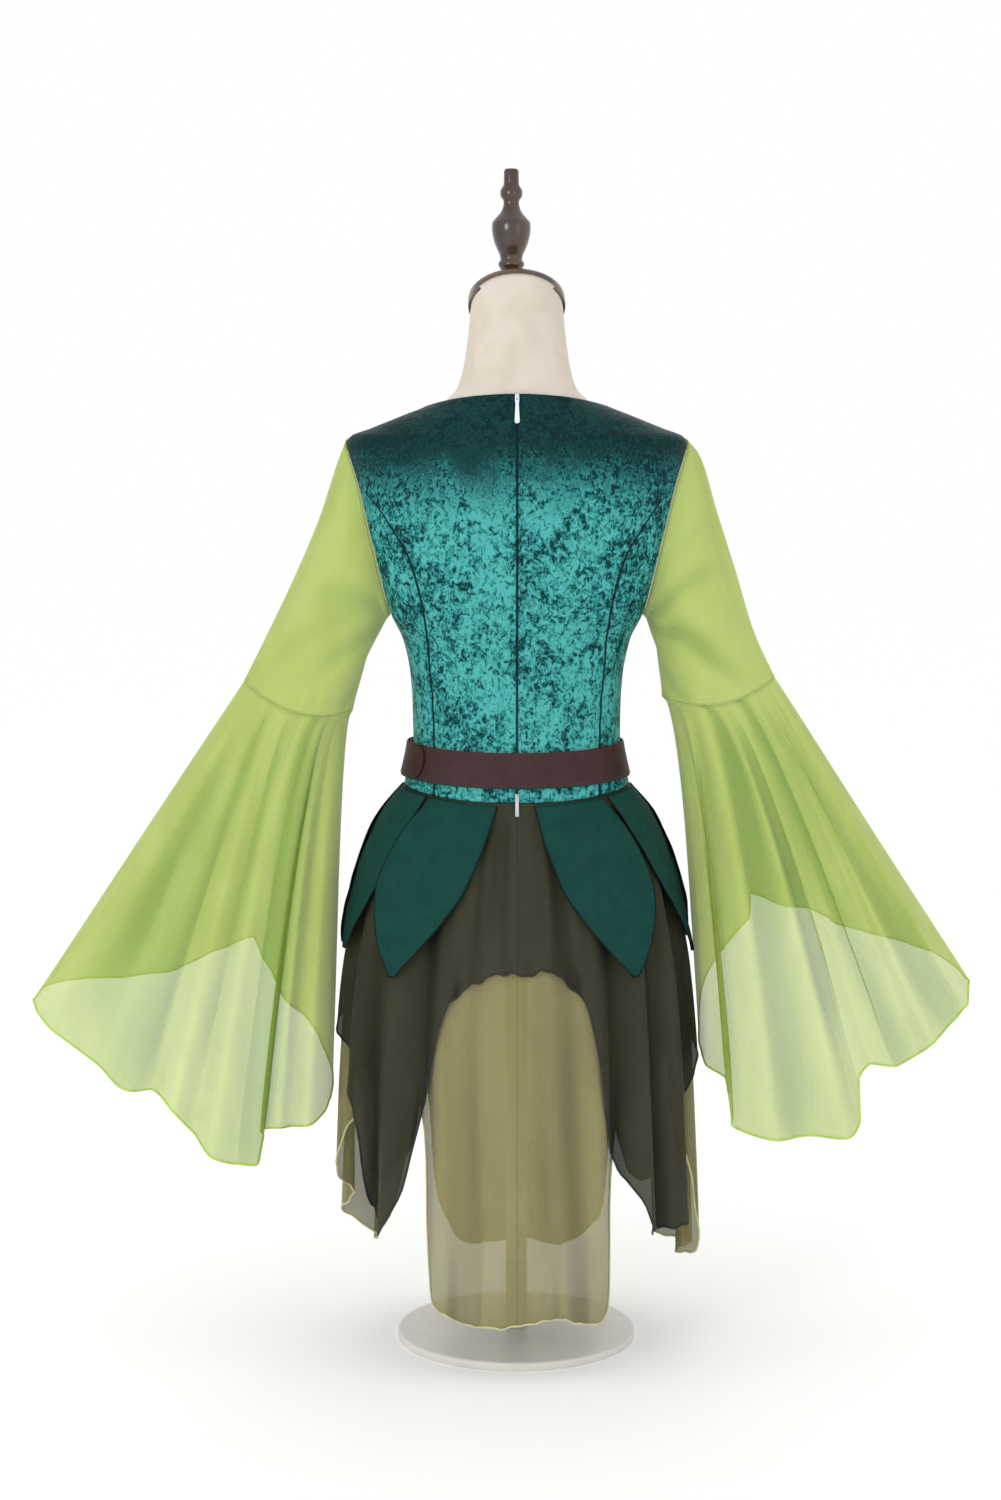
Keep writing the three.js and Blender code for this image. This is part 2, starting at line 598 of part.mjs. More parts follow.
function upperSleeve(sections, side) {
  const sheet = SLEEVE_ROWS.map((along) => Array.from({ length: SLEEVE_AROUND }, (_, k) => (
    upperPoint(sections, side, (360 * k) / SLEEVE_AROUND, along))));
  return clothWall(sheet, CHIFFON, true);
}

function bell(sections, hem, side) {
  const sheet = BELL_ROWS.map((along) => Array.from({ length: BELL_AROUND }, (_, k) => {
    const turn = (360 * k) / BELL_AROUND;
    const top = upperPoint(sections, side, turn, 1);
    const towardsInner = (1 - Math.cos(radians(turn))) / 2;
    return new THREE.Vector3(
      mix(top.x, read(hem, 'x', turn), along ** mix(BELL_CURVE.outer, BELL_CURVE.inner, towardsInner)),
      mix(top.y, read(hem, 'y', turn), along ** BELL_CURVE.depth),
      mix(top.z - BELL_SEAM, read(hem, 'z', turn), along),
    );
  }));
  return clothWall(sheet, CHIFFON, true);
}

// Zip parts
function tilted(geometry, place, outDirection) {
  const across = new THREE.Vector3(1, 0, 0);
  const inwards = outDirection.clone().negate();
  geometry.applyMatrix4(new THREE.Matrix4().makeBasis(across, inwards, across.clone().cross(inwards)));
  geometry.translate(place.x, place.y, place.z);
  return geometry;
}

function flatPiece(outline, depth) {
  return new THREE.ExtrudeGeometry(outline, { depth, bevelEnabled: false, curveSegments: 8 });
}

function slider() {
  const skin = bodyPoint(0, ZIP.z, BODICE_OUT + GAP);
  const out = bodyPoint(0, ZIP.z, BODICE_OUT + GAP + 1).sub(skin);
  const plate = new THREE.BoxGeometry(ZIP.plateWide, ZIP.plateThick, ZIP.plateLong);
  const outline = new THREE.Shape();
  outline.absarc(0, 0, ZIP.ring, 0, 2 * Math.PI);
  const hole = new THREE.Path();
  hole.absarc(0, 0, ZIP.hole, 0, 2 * Math.PI, true);
  outline.holes.push(hole);
  const ring = flatPiece(outline, ZIP.ringWide);
  ring.translate(0, 0, -ZIP.ringWide / 2);
  ring.rotateY(Math.PI / 2);
  ring.rotateX(Math.PI / 2);
  plate.translate(0, ZIP.hole + FINE_GAP + ZIP.plateThick / 2, 0);
  const hinge = skin.clone().addScaledVector(out, ZIP.plateThick + FINE_GAP + ZIP.hole);
  return { geometry: tilted(joined(plate, ring), hinge, out), hinge };
}

function pullTab(hinge) {
  const tip = bodyPoint(0, PULL_TIP_Z, BODICE_OUT + GAP + PULL.thick / 2 + FINE_GAP);
  const down = tip.sub(hinge).normalize();
  const outline = new THREE.Shape();
  outline.moveTo(-PULL.half, PULL.bar);
  outline.lineTo(-PULL.half, -PULL.shoulder);
  outline.lineTo(-PULL.endHalf + 1, -PULL.neck);
  outline.absarc(0, -PULL.long + PULL.endHalf, PULL.endHalf, Math.PI, 2 * Math.PI, false);
  outline.lineTo(PULL.endHalf - 1, -PULL.neck);
  outline.lineTo(PULL.half, -PULL.shoulder);
  outline.lineTo(PULL.half, PULL.bar);
  const hole = new THREE.Path();
  hole.moveTo(-PULL.windowHalf, -PULL.bar);
  hole.lineTo(PULL.windowHalf, -PULL.bar);
  hole.lineTo(PULL.windowHalf, -PULL.windowLong);
  hole.lineTo(-PULL.windowHalf, -PULL.windowLong);
  outline.holes.push(hole);
  const tab = plain(flatPiece(outline, PULL.thick));
  const up = down.negate();
  const across = new THREE.Vector3(1, 0, 0);
  tab.translate(0, 0, -PULL.thick / 2);
  tab.applyMatrix4(new THREE.Matrix4().makeBasis(across, up, across.clone().cross(up)));
  tab.translate(hinge.x, hinge.y, hinge.z);
  return tab;
}

function tapeEnd() {
  const places = [
    bodyPoint(0, TAIL.top, BODICE_OUT + GAP + TAIL.thick),
    bodyPoint(0, SEAM_BACK + 2, BODICE_OUT + 2 * GAP + TAIL.thick),
    skirtPoint(0, TAIL.bottomBelow, DARK_MID + CHIFFON / 2 + 2 * GAP + TAIL.thick / 2, false),
  ];
  const sheet = places.map((place) => (
    [-TAIL.half, TAIL.half].map((x) => new THREE.Vector3(x, place.y, place.z))));
  return clothWall(sheet, TAIL.thick, false);
}

// Form
function formBody() {
  const spots = [];
  const faces = [];
  FORM_ROWS.forEach((z) => {
    for (let k = 0; k < FORM_AROUND; k += 1) {
      const sink = FORM_SINK * (1 - soft((z - NECK_POINT) / (NECK_BACK - NECK_POINT)));
      const spot = bodyPoint((360 * k) / FORM_AROUND, z, -sink);
      spot.z -= read(BODY, 'tilt', z) * spot.y;
      spots.push(spot);
    }
  });
  const high = FORM_ROWS.length;
  for (let i = 0; i < high - 1; i += 1) {
    for (let j = 0; j < FORM_AROUND; j += 1) {
      const next = (j + 1) % FORM_AROUND;
      const [a, b] = [i * FORM_AROUND + j, i * FORM_AROUND + next];
      faces.push(a, b, b + FORM_AROUND, a, b + FORM_AROUND, a + FORM_AROUND);
    }
  }
  const ends = [[0, FORM_BOTTOM], [high - 1, NECK_TOP]];
  ends.forEach(([row, z], index) => {
    const centre = spots.push(new THREE.Vector3(0, 0, z)) - 1;
    for (let j = 0; j < FORM_AROUND; j += 1) {
      const [a, b] = [row * FORM_AROUND + j, row * FORM_AROUND + ((j + 1) % FORM_AROUND)];
      if (index === 0) faces.push(centre, b, a);
      else faces.push(centre, a, b);
    }
  });
  return outward(spots, faces);
}

function neckCap() {
  const top = CAP.rimHigh + CAP.dome;
  const geometry = lathe([
    [0, 0], [CAP.foot, 0], [CAP.rim, CAP.footHigh], [CAP.rim, CAP.lipFrom], [CAP.lip, CAP.rimHigh],
    [CAP.shoulder, CAP.shoulderHigh], [CAP.flat, top], [0, top],
  ]);
  geometry.rotateX(radians(-CAP.tilt));
  geometry.translate(0, 0, NECK_TOP + CAP.aboveNeck);
  return geometry;
}

// The finial stands upright, and its foot is cut to the slope of the cap's flat top
function finial() {
  const outline = FINIAL.rows.map(([up, radius]) => [radius, up]);
  const high = FINIAL.rows.at(-1)[0];
  const geometry = lathe([[0, 0], ...outline, [0, high]], FINIAL_AROUND);
  const capHigh = CAP.rimHigh + CAP.dome;
  const capTop = {
    y: capHigh * Math.sin(radians(CAP.tilt)),
    z: NECK_TOP + CAP.aboveNeck + capHigh * Math.cos(radians(CAP.tilt)),
  };
  geometry.translate(FINIAL_X, capTop.y, FINIAL_TOP - high);
  const spots = geometry.attributes.position;
  for (let i = 0; i < spots.count; i += 1) {
    if (spots.getZ(i) < FINIAL_TOP - high + 1) {
      const drop = Math.tan(radians(CAP.tilt)) * (spots.getY(i) - capTop.y);
      spots.setZ(i, capTop.z + GAP - drop);
    }
  }
  return geometry;
}

addPiece('bodice_centre_back_left', centreBack(-1), 'velvet');
addPiece('bodice_centre_back_right', centreBack(1), 'velvet');
addPiece('bodice_side_back_left', sidePanel(-1, false), 'velvet');
addPiece('bodice_side_back_right', sidePanel(1, false), 'velvet');
addPiece('bodice_side_front_left', sidePanel(-1, true), 'velvet');
addPiece('bodice_side_front_right', sidePanel(1, true), 'velvet');
addPiece('bodice_centre_front', centreFront(), 'velvet');
addPiece('belt', belt(), 'leather');
addPiece('upper_sleeve_left', upperSleeve(SLEEVE.left, -1), 'lime');
addPiece('upper_sleeve_right', upperSleeve(SLEEVE.right, 1), 'lime');
addPiece('bell_sleeve_left', bell(SLEEVE.left, BELL.left, -1), 'lime');
addPiece('bell_sleeve_right', bell(SLEEVE.right, BELL.right, 1), 'lime');
PETALS.forEach((row) => addPiece(row.name, petal(row), 'petal'));
addPiece('skirt_dark_tier', tier(DARK_HEM, DARK_MID, false), 'dark');
addPiece('skirt_khaki_tier', tier(KHAKI_HEM, KHAKI_MID, true), 'khaki');
const zipSlider = slider();
addPiece('zip_slider', zipSlider.geometry, 'white');
addPiece('zip_pull', pullTab(zipSlider.hinge), 'white');
addPiece('zip_tape_end', tapeEnd(), 'white');
addPiece('form_body', formBody(), 'linen');
addPiece('neck_cap', neckCap(), 'wood');
addPiece('finial', finial(), 'wood');
const poleTop = FORM_BOTTOM - POLE.gap;
addPiece('stand_pole', lathe([[0, BASE.high + POLE.gap], [POLE.radius, BASE.high + POLE.gap],
  [POLE.radius, poleTop], [0, poleTop]]), 'stand');
addPiece('stand_base', lathe([[0, 0], [BASE.radius, 0], [BASE.radius, BASE.high - BASE.edge],
  [BASE.radius - BASE.edge, BASE.high], [0, BASE.high]], BASE_AROUND), 'stand');

export default costume;
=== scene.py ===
"""The looks of a fairy costume on a limbless dress form.

Every cloth piece is a thin shell worked out from the same sizes as its solid, with folds, creases,
rolled hems and rows of stitches added. Sizes are millimetres until a mesh is made.
"""

from __future__ import annotations

import json
import logging
import math
from dataclasses import dataclass, replace
from enum import Enum

import bpy
import numpy as np
from mathutils import Matrix, Vector

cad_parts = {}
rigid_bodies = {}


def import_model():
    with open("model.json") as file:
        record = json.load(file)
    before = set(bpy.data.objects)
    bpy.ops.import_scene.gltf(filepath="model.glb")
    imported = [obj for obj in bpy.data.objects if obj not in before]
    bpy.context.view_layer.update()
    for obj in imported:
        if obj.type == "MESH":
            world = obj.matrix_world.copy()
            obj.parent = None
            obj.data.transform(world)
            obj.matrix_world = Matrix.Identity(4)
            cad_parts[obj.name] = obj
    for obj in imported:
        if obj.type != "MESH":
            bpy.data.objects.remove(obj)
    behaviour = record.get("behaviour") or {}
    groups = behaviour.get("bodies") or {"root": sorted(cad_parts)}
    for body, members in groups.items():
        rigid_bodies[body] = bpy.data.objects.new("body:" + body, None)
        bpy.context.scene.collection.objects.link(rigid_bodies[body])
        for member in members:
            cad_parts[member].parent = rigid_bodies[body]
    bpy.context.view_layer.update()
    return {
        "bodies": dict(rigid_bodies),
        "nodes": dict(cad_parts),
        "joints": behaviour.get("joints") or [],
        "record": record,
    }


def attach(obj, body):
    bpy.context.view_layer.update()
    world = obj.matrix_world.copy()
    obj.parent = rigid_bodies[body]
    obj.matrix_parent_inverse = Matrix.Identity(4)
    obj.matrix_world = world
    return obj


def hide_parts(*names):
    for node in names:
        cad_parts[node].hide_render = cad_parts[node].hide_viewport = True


LOG = logging.getLogger("fairy_costume")
MM = 0.001
FLAT = (1, 1, 0)
Array = np.ndarray
Object = bpy.types.Object
Socket = bpy.types.NodeSocket
Triple = tuple[float, float, float]


@dataclass(frozen=True)
class Table:
    """Rows of named columns, read smoothly between the rows and without overshoot."""

    names: tuple[str, ...]
    rows: tuple[tuple[float, ...], ...]

    def read(self, name: str, at: Array | float) -> Array:
        """Reads one column.

        Args:
            name: The column to read.
            at: Places in the first column, which are clamped to its ends.

        Returns:
            The column's values there.
        """
        grid = np.array(self.rows, dtype=float)
        places, values = grid[:, 0], grid[:, self.names.index(name)]
        at = np.clip(np.asarray(at, dtype=float), places[0], places[-1])
        chord = np.diff(values) / np.diff(places)
        slope = np.zeros_like(places)
        slope[0], slope[-1] = chord[0], chord[-1]
        before, after = chord[:-1], chord[1:]
        same_way = before * after > 0
        total = np.where(same_way, before + after, 1.0)
        slope[1:-1] = np.where(same_way, 2 * before * after / total, 0.0)
        i = np.clip(np.searchsorted(places, at, side="right") - 1, 0, len(places) - 2)
        span = places[i + 1] - places[i]
        t = (at - places[i]) / span
        ease = t * t * (3 - 2 * t)
        bend = t * (1 - t) ** 2 * span * slope[i] - t * t * (1 - t) * span * slope[i + 1]
        return values[i] * (1 - ease) + values[i + 1] * ease + bend


class Side(Enum):
    """The two sides of the costume, as the sign of X."""

    LEFT = -1
    RIGHT = 1


class Face(Enum):
    """The two faces of the bodice."""

    BACK = "back"
    FRONT = "front"


@dataclass(frozen=True)
class Cloth:
    """Walls of the shells and the gaps between the layers."""

    velvet: float = 1.6
    chiffon: float = 1.2
    petal: float = 1.5
    leather: float = 2.5
    ease: float = 2.0
    gap: float = 0.4
    seam_half_gap: float = 0.15
    sheer_shell: float = 0.5

    @property
    def bodice_out(self) -> float:
        """How far the velvet's outside lies from the form."""
        return self.ease + self.velvet

    @property
    def khaki_mid(self) -> float:
        """How far the khaki tier's middle lies from the form at the waist seam."""
        return self.ease + self.chiffon / 2

    @property
    def dark_mid(self) -> float:
        """How far the dark tier's middle lies from the form at the waist seam."""
        return self.khaki_mid + self.chiffon + self.gap

    @property
    def petal_mid(self) -> float:
        """How far a petal's middle lies from the form at the waist seam."""
        return self.dark_mid + self.chiffon / 2 + self.gap + self.petal / 2

    @property
    def sleeve_mid(self) -> float:
        """How far a sleeve's middle lies from the form at the armhole."""
        return self.bodice_out + self.gap + self.chiffon / 2


CLOTH = Cloth()


@dataclass(frozen=True)
class Heights:
    """Heights of seams and edges above the floor."""

    seam_back: float = 622
    seam_side: float = 634
    waist_blend: float = 700
    armhole_middle: float = 921.5
    armhole_half_high: float = 95
    armhole_half_deep: float = 50
    princess_top: float = 962
    shoulder_tip: float = 1016.5
    neck_point: float = 1053.5
    neck_back: float = 1066
    neck_front: float = 945
    neck_top: float = 1164
    form_bottom: float = 520


AT = Heights()

BODY = Table(("z", "half", "back", "front", "square", "tilt"), (
    (500, 134, 112, 96, 2.3, 0),
    (570, 136, 110, 95, 2.3, 0),
    (613, 127, 99, 89, 2.3, 0),
    (634, 122.5, 93, 86, 2.3, 0),
    (690, 112, 85, 85, 2.3, 0),
    (726, 112.5, 84, 87, 2.3, 0),
    (760, 115, 86, 93, 2.3, 0),
    (798, 123, 90, 102, 2.4, 0),
    (826, 136, 94, 108, 2.8, 0),
    (870, 150, 97, 112, 3.3, 0),
    (921, 163, 98, 106, 3.6, 0),
    (975, 176, 96, 92, 3.2, 0),
    (1000, 183, 90, 80, 2.8, 0),
    (1012, 185.5, 84, 72, 2.5, 0),
    (1018, 182, 81, 69, 2.4, 0),
    (1026, 162, 76, 65, 2.3, 0),
    (1036, 137, 70, 60, 2.3, 0),
    (1047, 109, 64, 57, 2.2, 0),
    (1056, 88, 60, 55, 2.2, 0),
    (1064, 75, 57, 53, 2.2, 0),
    (1074, 66, 55, 52, 2.1, 0),
    (1092, 60, 53, 51, 2.1, 0.08),
    (1130, 54, 51, 49, 2.1, 0.34),
    (1164, 50.5, 49, 48, 2.1, 0.66),
))
PRINCESS = {
    Face.BACK: Table(("z", "x"), (
        (613, 90), (686, 89), (775, 94), (830, 100), (889, 116), (925, 136), (950, 153), (962, 165),
        (985, 200),
    )),
    Face.FRONT: Table(("z", "x"), (
        (613, 68), (690, 62), (775, 68), (850, 80), (900, 96), (935, 122), (962, 158), (985, 200),
    )),
}
FLARE = Table(("below", "side", "deep", "valley"), (
    (0, 0, 0, 0),
    (30, 20, 14, 1),
    (60, 35, 28, 3),
    (100, 49, 43, 8),
    (150, 60, 56, 13),
    (200, 69, 66, 18),
    (280, 77, 75, 23),
    (380, 83, 80, 27),
    (480, 88, 83, 29),
    (600, 92, 86, 31),
))
RIDGES = Table(("turn", "share"), (
    (-180, 0.8), (-155, 1.0), (-131, 0.8), (-108, 1.0), (-84, 0.7), (-62, 1.0), (-41, 0.75), (-21, 0.9),
    (0, 0.35), (23, 0.5), (41, 1.0), (60, 0.8), (83, 1.0), (107, 0.85), (130, 1.0), (154, 0.7), (180, 0.8),
))
DARK_HEM = Table(("turn", "z"), (
    (-180, 440), (-160, 418), (-150, 330), (-143, 190), (-134, 152), (-126, 175), (-118, 270), (-105, 350),
    (-90, 382), (-82, 352), (-72, 326), (-63, 298), (-58, 262), (-56, 215), (-54, 178), (-50, 163),
    (-45, 156), (-40, 170), (-36, 205), (-33, 262), (-29, 318), (-24, 378), (-19, 414), (-12, 438),
    (0, 447), (7, 449), (14, 436), (19, 422), (22, 385), (26, 300), (31, 245), (37, 205),
    (42, 164), (48, 152), (54, 151), (59, 154), (63, 172), (67, 224), (72, 270), (78, 300),
    (84, 325), (90, 352), (105, 345), (118, 290), (127, 180), (136, 150), (145, 200), (152, 340),
    (162, 425), (180, 440),
))
KHAKI_HEM = Table(("turn", "z"), (
    (-180, 64), (-164, 70), (-157, 110), (-152, 240), (-147, 335), (-141, 200), (-135, 104), (-127, 84),
    (-119, 98), (-110, 124), (-102, 146), (-94, 168), (-86, 196), (-78, 256), (-68, 306), (-56, 336),
    (-44, 350), (-36, 330), (-31, 270), (-28, 160), (-25, 92), (-19, 71), (-12, 62), (-5, 60),
    (3, 68), (11, 66), (20, 63), (25, 70), (28, 96), (31, 190), (35, 300), (44, 366),
    (56, 352), (66, 312), (74, 268), (79, 205), (83, 140), (87, 100), (95, 94), (106, 95),
    (117, 99), (121, 130), (126, 235), (134, 345), (143, 330), (149, 200), (154, 100), (164, 68),
    (180, 64),
))


def power(value: Array, exponent: Array | float) -> Array:
    """Raises the size of a value and keeps its sign."""
    return np.sign(value) * np.abs(value) ** exponent


def soft(value: Array | float) -> Array:
    """A smooth step from 0 to 1."""
    t = np.clip(value, 0.0, 1.0)
    return t * t * (3 - 2 * t)


def unit(vectors: Array) -> Array:
    """Vectors of length one."""
    size = np.linalg.norm(vectors, axis=-1, keepdims=True)
    return vectors / np.maximum(size, 1e-9)


def uneven(at: Array, seed: float) -> Array:
    """A slow wave of uneven length and height, within about -1 to 1."""
    tones = np.sin(at + seed) + 0.6 * np.sin(at * 2.3 + seed * 1.7) + 0.4 * np.sin(at * 4.1 + seed * 2.9)
    return tones / 2


def aim(turn: Array) -> tuple[Array, Array]:
    """How far right and how far forward each turn points."""
    return np.sin(np.radians(turn)), -np.cos(np.radians(turn))


@dataclass(frozen=True)
class Form:
    """The dress form's surface. A turn of 0 is centre back, 90 the right side, 180 centre front."""

    bust_out: float = 9.0
    bust_x: float = 70.0
    bust_z: float = 882.0
    bust_wide: float = 48.0
    bust_high: float = 54.0
    bust_from: float = 60.0
    sink: float = 2.2
    step: float = 0.5

    def bust(self, x: Array, y: Array, z: Array) -> Array:
        """Rounds the front out over the bust.

        Args:
            x: Distance from the middle.
            y: Distance from the side plane, positive in front.
            z: Height.

        Returns:
            How far each place moves out.
        """
        across = (np.abs(x) - self.bust_x) / self.bust_wide
        up = (z - self.bust_z) / self.bust_high
        return self.bust_out * np.exp(-across * across - up * up) * np.clip(y / self.bust_from, 0, 1)

    def depth(self, z: Array, front: Array) -> Array:
        """The form's depth at a height, to the front or the back."""
        return np.where(front, BODY.read("front", z), BODY.read("back", z))

    def level(self, x: Array, y: Array, z: Array) -> Array:
        """Tells how far out a place lies.

        Args:
            x: Distance from the middle.
            y: Distance from the side plane, positive in front.
            z: Height.

        Returns:
            A value that is 1 on the surface and larger outside it.
        """
        front = y > 0
        square = BODY.read("square", z)
        flat = np.where(front, np.maximum(y - self.bust(x, y, z), 0), -y)
        return (np.abs(x) / BODY.read("half", z)) ** square + (np.abs(flat) / self.depth(z, front)) ** square

    def point(self, turn: Array, z: Array, moved: Array | float) -> Array:
        """Places on the surface.

        Args:
            turn: Turn from centre back, in degrees.
            z: Height.
            moved: How far out of the surface.

        Returns:
            An array of points, one more dimension than the arguments.
        """
        turn, z = np.broadcast_arrays(np.asarray(turn, float), np.asarray(z, float))
        square = BODY.read("square", z)
        across, along = aim(turn)
        x = BODY.read("half", z) * power(across, 2 / square)
        y = self.depth(z, along > 0) * power(along, 2 / square)
        y = y + self.bust(x, y, z)
        step = self.step
        normal = unit(np.stack([
            self.level(x + step, y, z) - self.level(x - step, y, z),
            self.level(x, y + step, z) - self.level(x, y - step, z),
            self.level(x, y, z + step) - self.level(x, y, z - step),
        ], axis=-1))
        return np.stack([x, y, z], axis=-1) + normal * np.asarray(moved, float)[..., None]

    def turn_at_x(self, x: Array, z: Array, face: Face) -> Array:
        """Finds a place from its X.

        Args:
            x: Distance from the middle, to the right if positive.
            z: Height.
            face: The face that the place lies on.

        Returns:
            The turn of each place.
        """
        share = np.clip(np.abs(x) / BODY.read("half", z), 0, 1)
        angle = np.degrees(np.arcsin(share ** (BODY.read("square", z) / 2)))
        sign = np.where(np.asarray(x) < 0, -1, 1)
        return sign * (180 - angle if face is Face.FRONT else angle)

    def turn_at_y(self, y: Array, z: Array, front: Array | bool) -> Array:
        """Finds a place on the right side from its distance from the side plane.

        Args:
            y: Distance from the side plane.
            z: Height.
            front: Whether the place lies in front of that plane.

        Returns:
            The turn of each place.
        """
        share = np.clip(np.abs(y) / self.depth(z, np.asarray(front)), 0, 1)
        angle = np.degrees(np.arccos(share ** (BODY.read("square", z) / 2)))
        return np.where(front, 180 - angle, angle)

    def armhole_half(self, z: Array) -> Array:
        """Half the armhole's depth at a height."""
        up = (z - AT.armhole_middle) / AT.armhole_half_high
        return AT.armhole_half_deep * np.sqrt(np.maximum(0, 1 - up * up))


FORM = Form()


def waist_seam(turn: Array) -> Array:
    """Height of the waist seam at a turn."""
    return AT.seam_side - (AT.seam_side - AT.seam_back) * np.cos(np.radians(turn)) ** 2


def over_seam(z: Array, turn: Array) -> Array:
    """Lifts the bodice's lowest rows so that they end on the waist seam."""
    share = np.clip((AT.waist_blend - z) / (AT.waist_blend - AT.seam_back), 0, 1)
    return z + (waist_seam(turn) - AT.seam_back) * share


@dataclass(frozen=True)
class Crease:
    """A soft trough (positive depth) or ridge (negative) along a line in a piece's own two coordinates.

    Its ends fade over the share fade of its length, and it sways by the share sway of its width.
    """

    start: tuple[float, float]
    end: tuple[float, float]
    wide: float
    depth: float
    past: float = 0.2
    fade: float = 0.35
    sway: float = 0.12

    def push(self, a: Array, b: Array, stretch: float = 1.0) -> Array:
        """How far the crease moves each place inwards.

        Args:
            a: First coordinate of each place.
            b: Second coordinate of each place.
            stretch: Size of a step of a against one of b.

        Returns:
            The move at each place.
        """
        along = np.array([(self.end[0] - self.start[0]) * stretch, self.end[1] - self.start[1]])
        long = float(np.hypot(*along))
        way = along / long
        da, db = (a - self.start[0]) * stretch, b - self.start[1]
        far = da * way[0] + db * way[1]
        off = -da * way[1] + db * way[0] + self.sway * self.wide * np.sin(far / long * 5 + self.wide)
        share = np.clip(far / long, -self.past, 1 + self.past)
        ends = soft((share + self.past) / self.fade) * soft((1 + self.past - share) / self.fade)
        return self.depth * np.exp(-(off / self.wide) ** 2) * ends


@dataclass
class Sheet:
    """A grid of points for one cloth piece, with what its finish needs at each point."""

    points: Array
    closed: bool
    from_edge: Array
    # How deep each point lies in a fold; finishes darken it there with painted shade.
    deep: Array


def quads(*corners: Array) -> Array:
    """Faces of four corners each, from four arrays of point numbers."""
    return np.stack(corners, axis=-1).reshape(-1, 4)


class MeshMaker:
    """Turns grids of points into closed shells, tubes and turned shapes."""

    @staticmethod
    def normals(points: Array, closed: bool) -> Array:
        """Finds the normals of a grid of points.

        Args:
            points: The grid, row by row.
            closed: Whether each row is a loop.

        Returns:
            A normal at each point.
        """
        if closed:
            across = np.roll(points, -1, axis=1) - np.roll(points, 1, axis=1)
        else:
            across = np.gradient(points, axis=1)
        return unit(np.cross(across, np.gradient(points, axis=0)))

    def shell(self, name: str, sheet: Sheet, thick: Array | float) -> Object:
        """Makes a thin closed shell round a sheet.

        Args:
            name: The object's name.
            sheet: The grid of points.
            thick: The shell's thickness.

        Returns:
            The object, with the attributes from_edge and deep.
        """
        points = sheet.points
        high, wide = points.shape[:2]
        wall = self.normals(points, sheet.closed) * thick / 2
        spots = np.concatenate([(points + wall).reshape(-1, 3), (points - wall).reshape(-1, 3)])
        columns = np.arange(wide if sheet.closed else wide - 1)
        nexts = (columns + 1) % wide
        rows = np.arange(high - 1)[:, None] * wide
        half = high * wide
        outer = quads(rows + columns, rows + nexts, rows + wide + nexts, rows + wide + columns)
        last = (high - 1) * wide
        faces = [outer, outer[:, ::-1] + half, quads(columns + half, nexts + half, nexts, columns),
                 quads(last + columns, last + nexts, last + nexts + half, last + columns + half)]
        if not sheet.closed:
            line = np.arange(high - 1) * wide
            edge = line + wide - 1
            faces.append(quads(line + half, line, line + wide, line + wide + half))
            faces.append(quads(edge, edge + half, edge + wide + half, edge + wide))
        made = self.make(name, spots, np.concatenate(faces))
        self.attribute(made, "from_edge", np.tile(sheet.from_edge.reshape(-1), 2) * MM)
        self.attribute(made, "deep", np.tile(sheet.deep.reshape(-1), 2) * MM)
        return made

    def tube(self, name: str, lines: list[tuple[Array, Array, bool]], radius: float,
             sides: int = 6) -> Object:
        """Makes a round roll along lines, such as a rolled hem.

        Args:
            name: The object's name.
            lines: Points, their normals, and whether the line is a loop.
            radius: The roll's radius.
            sides: Sides of its section.

        Returns:
            The object, one closed roll for each line.
        """
        spots: list[Array] = []
        faces: list[Array] = []
        count = 0
        angles = np.linspace(0, 2 * np.pi, sides, endpoint=False)
        cosine, sine = np.cos(angles)[None, :, None], np.sin(angles)[None, :, None]
        for points, normal, loop in lines:
            ahead = np.gradient(points, axis=0)
            if loop:
                ahead = np.roll(points, -1, axis=0) - np.roll(points, 1, axis=0)
            ahead = unit(ahead)
            normal = unit(normal - ahead * np.sum(normal * ahead, axis=-1, keepdims=True))
            across = np.cross(ahead, normal)
            ring = points[:, None] + radius * (cosine * normal[:, None] + sine * across[:, None])
            spots.append(ring.reshape(-1, 3))
            number = len(points)
            places = np.arange(number if loop else number - 1)[:, None]
            here, there = places * sides + count, (places + 1) % number * sides + count
            k, following = np.arange(sides), (np.arange(sides) + 1) % sides
            faces.append(quads(here + k, here + following, there + following, there + k))
            if not loop:
                ends = np.array([[0, 3, 2, 1], [0, 5, 4, 3]]) + count
                faces += [ends, ends[:, ::-1] + (number - 1) * sides]
            count += number * sides
        return self.make(name, np.concatenate(spots), np.concatenate(faces))

    def turned(self, name: str, outline: list[tuple[float, float]], around: int = 72) -> Object:
        """Makes a turned shape, closed on the axis at both ends.

        Args:
            name: The object's name.
            outline: Pairs of a radius and a height, upwards.
            around: Points in each ring.

        Returns:
            The object.
        """
        angles = np.linspace(0, 2 * np.pi, around, endpoint=False)
        cosine, sine = np.cos(angles), np.sin(angles)
        rings = [np.stack([r * cosine, r * sine, np.full(around, z)], -1) for r, z in outline if r > 0]
        return self.rings(name, np.array(rings), outline[0][1], outline[-1][1])

    def rings(self, name: str, points: Array, low: float, top: float) -> Object:
        """Closes a stack of rings with a fan at each end.

        Args:
            name: The object's name.
            points: The rings, upwards.
            low: Height of the lower end's middle.
            top: Height of the upper end's middle.

        Returns:
            The object.
        """
        high, wide = points.shape[:2]
        spots = np.concatenate([points.reshape(-1, 3), [[0, 0, low], [0, 0, top]]])
        k, following = np.arange(wide), (np.arange(wide) + 1) % wide
        rows, last = np.arange(high - 1)[:, None] * wide, (high - 1) * wide
        faces = quads(rows + k, rows + following, rows + wide + following, rows + wide + k).tolist()
        faces += [[high * wide, b, a] for a, b in zip(k.tolist(), following.tolist())]
        faces += [[high * wide + 1, last + a, last + b] for a, b in zip(k.tolist(), following.tolist())]
        mesh = bpy.data.meshes.new(name)
        mesh.from_pydata((spots * MM).tolist(), [], faces)
        return self.link(name, mesh)

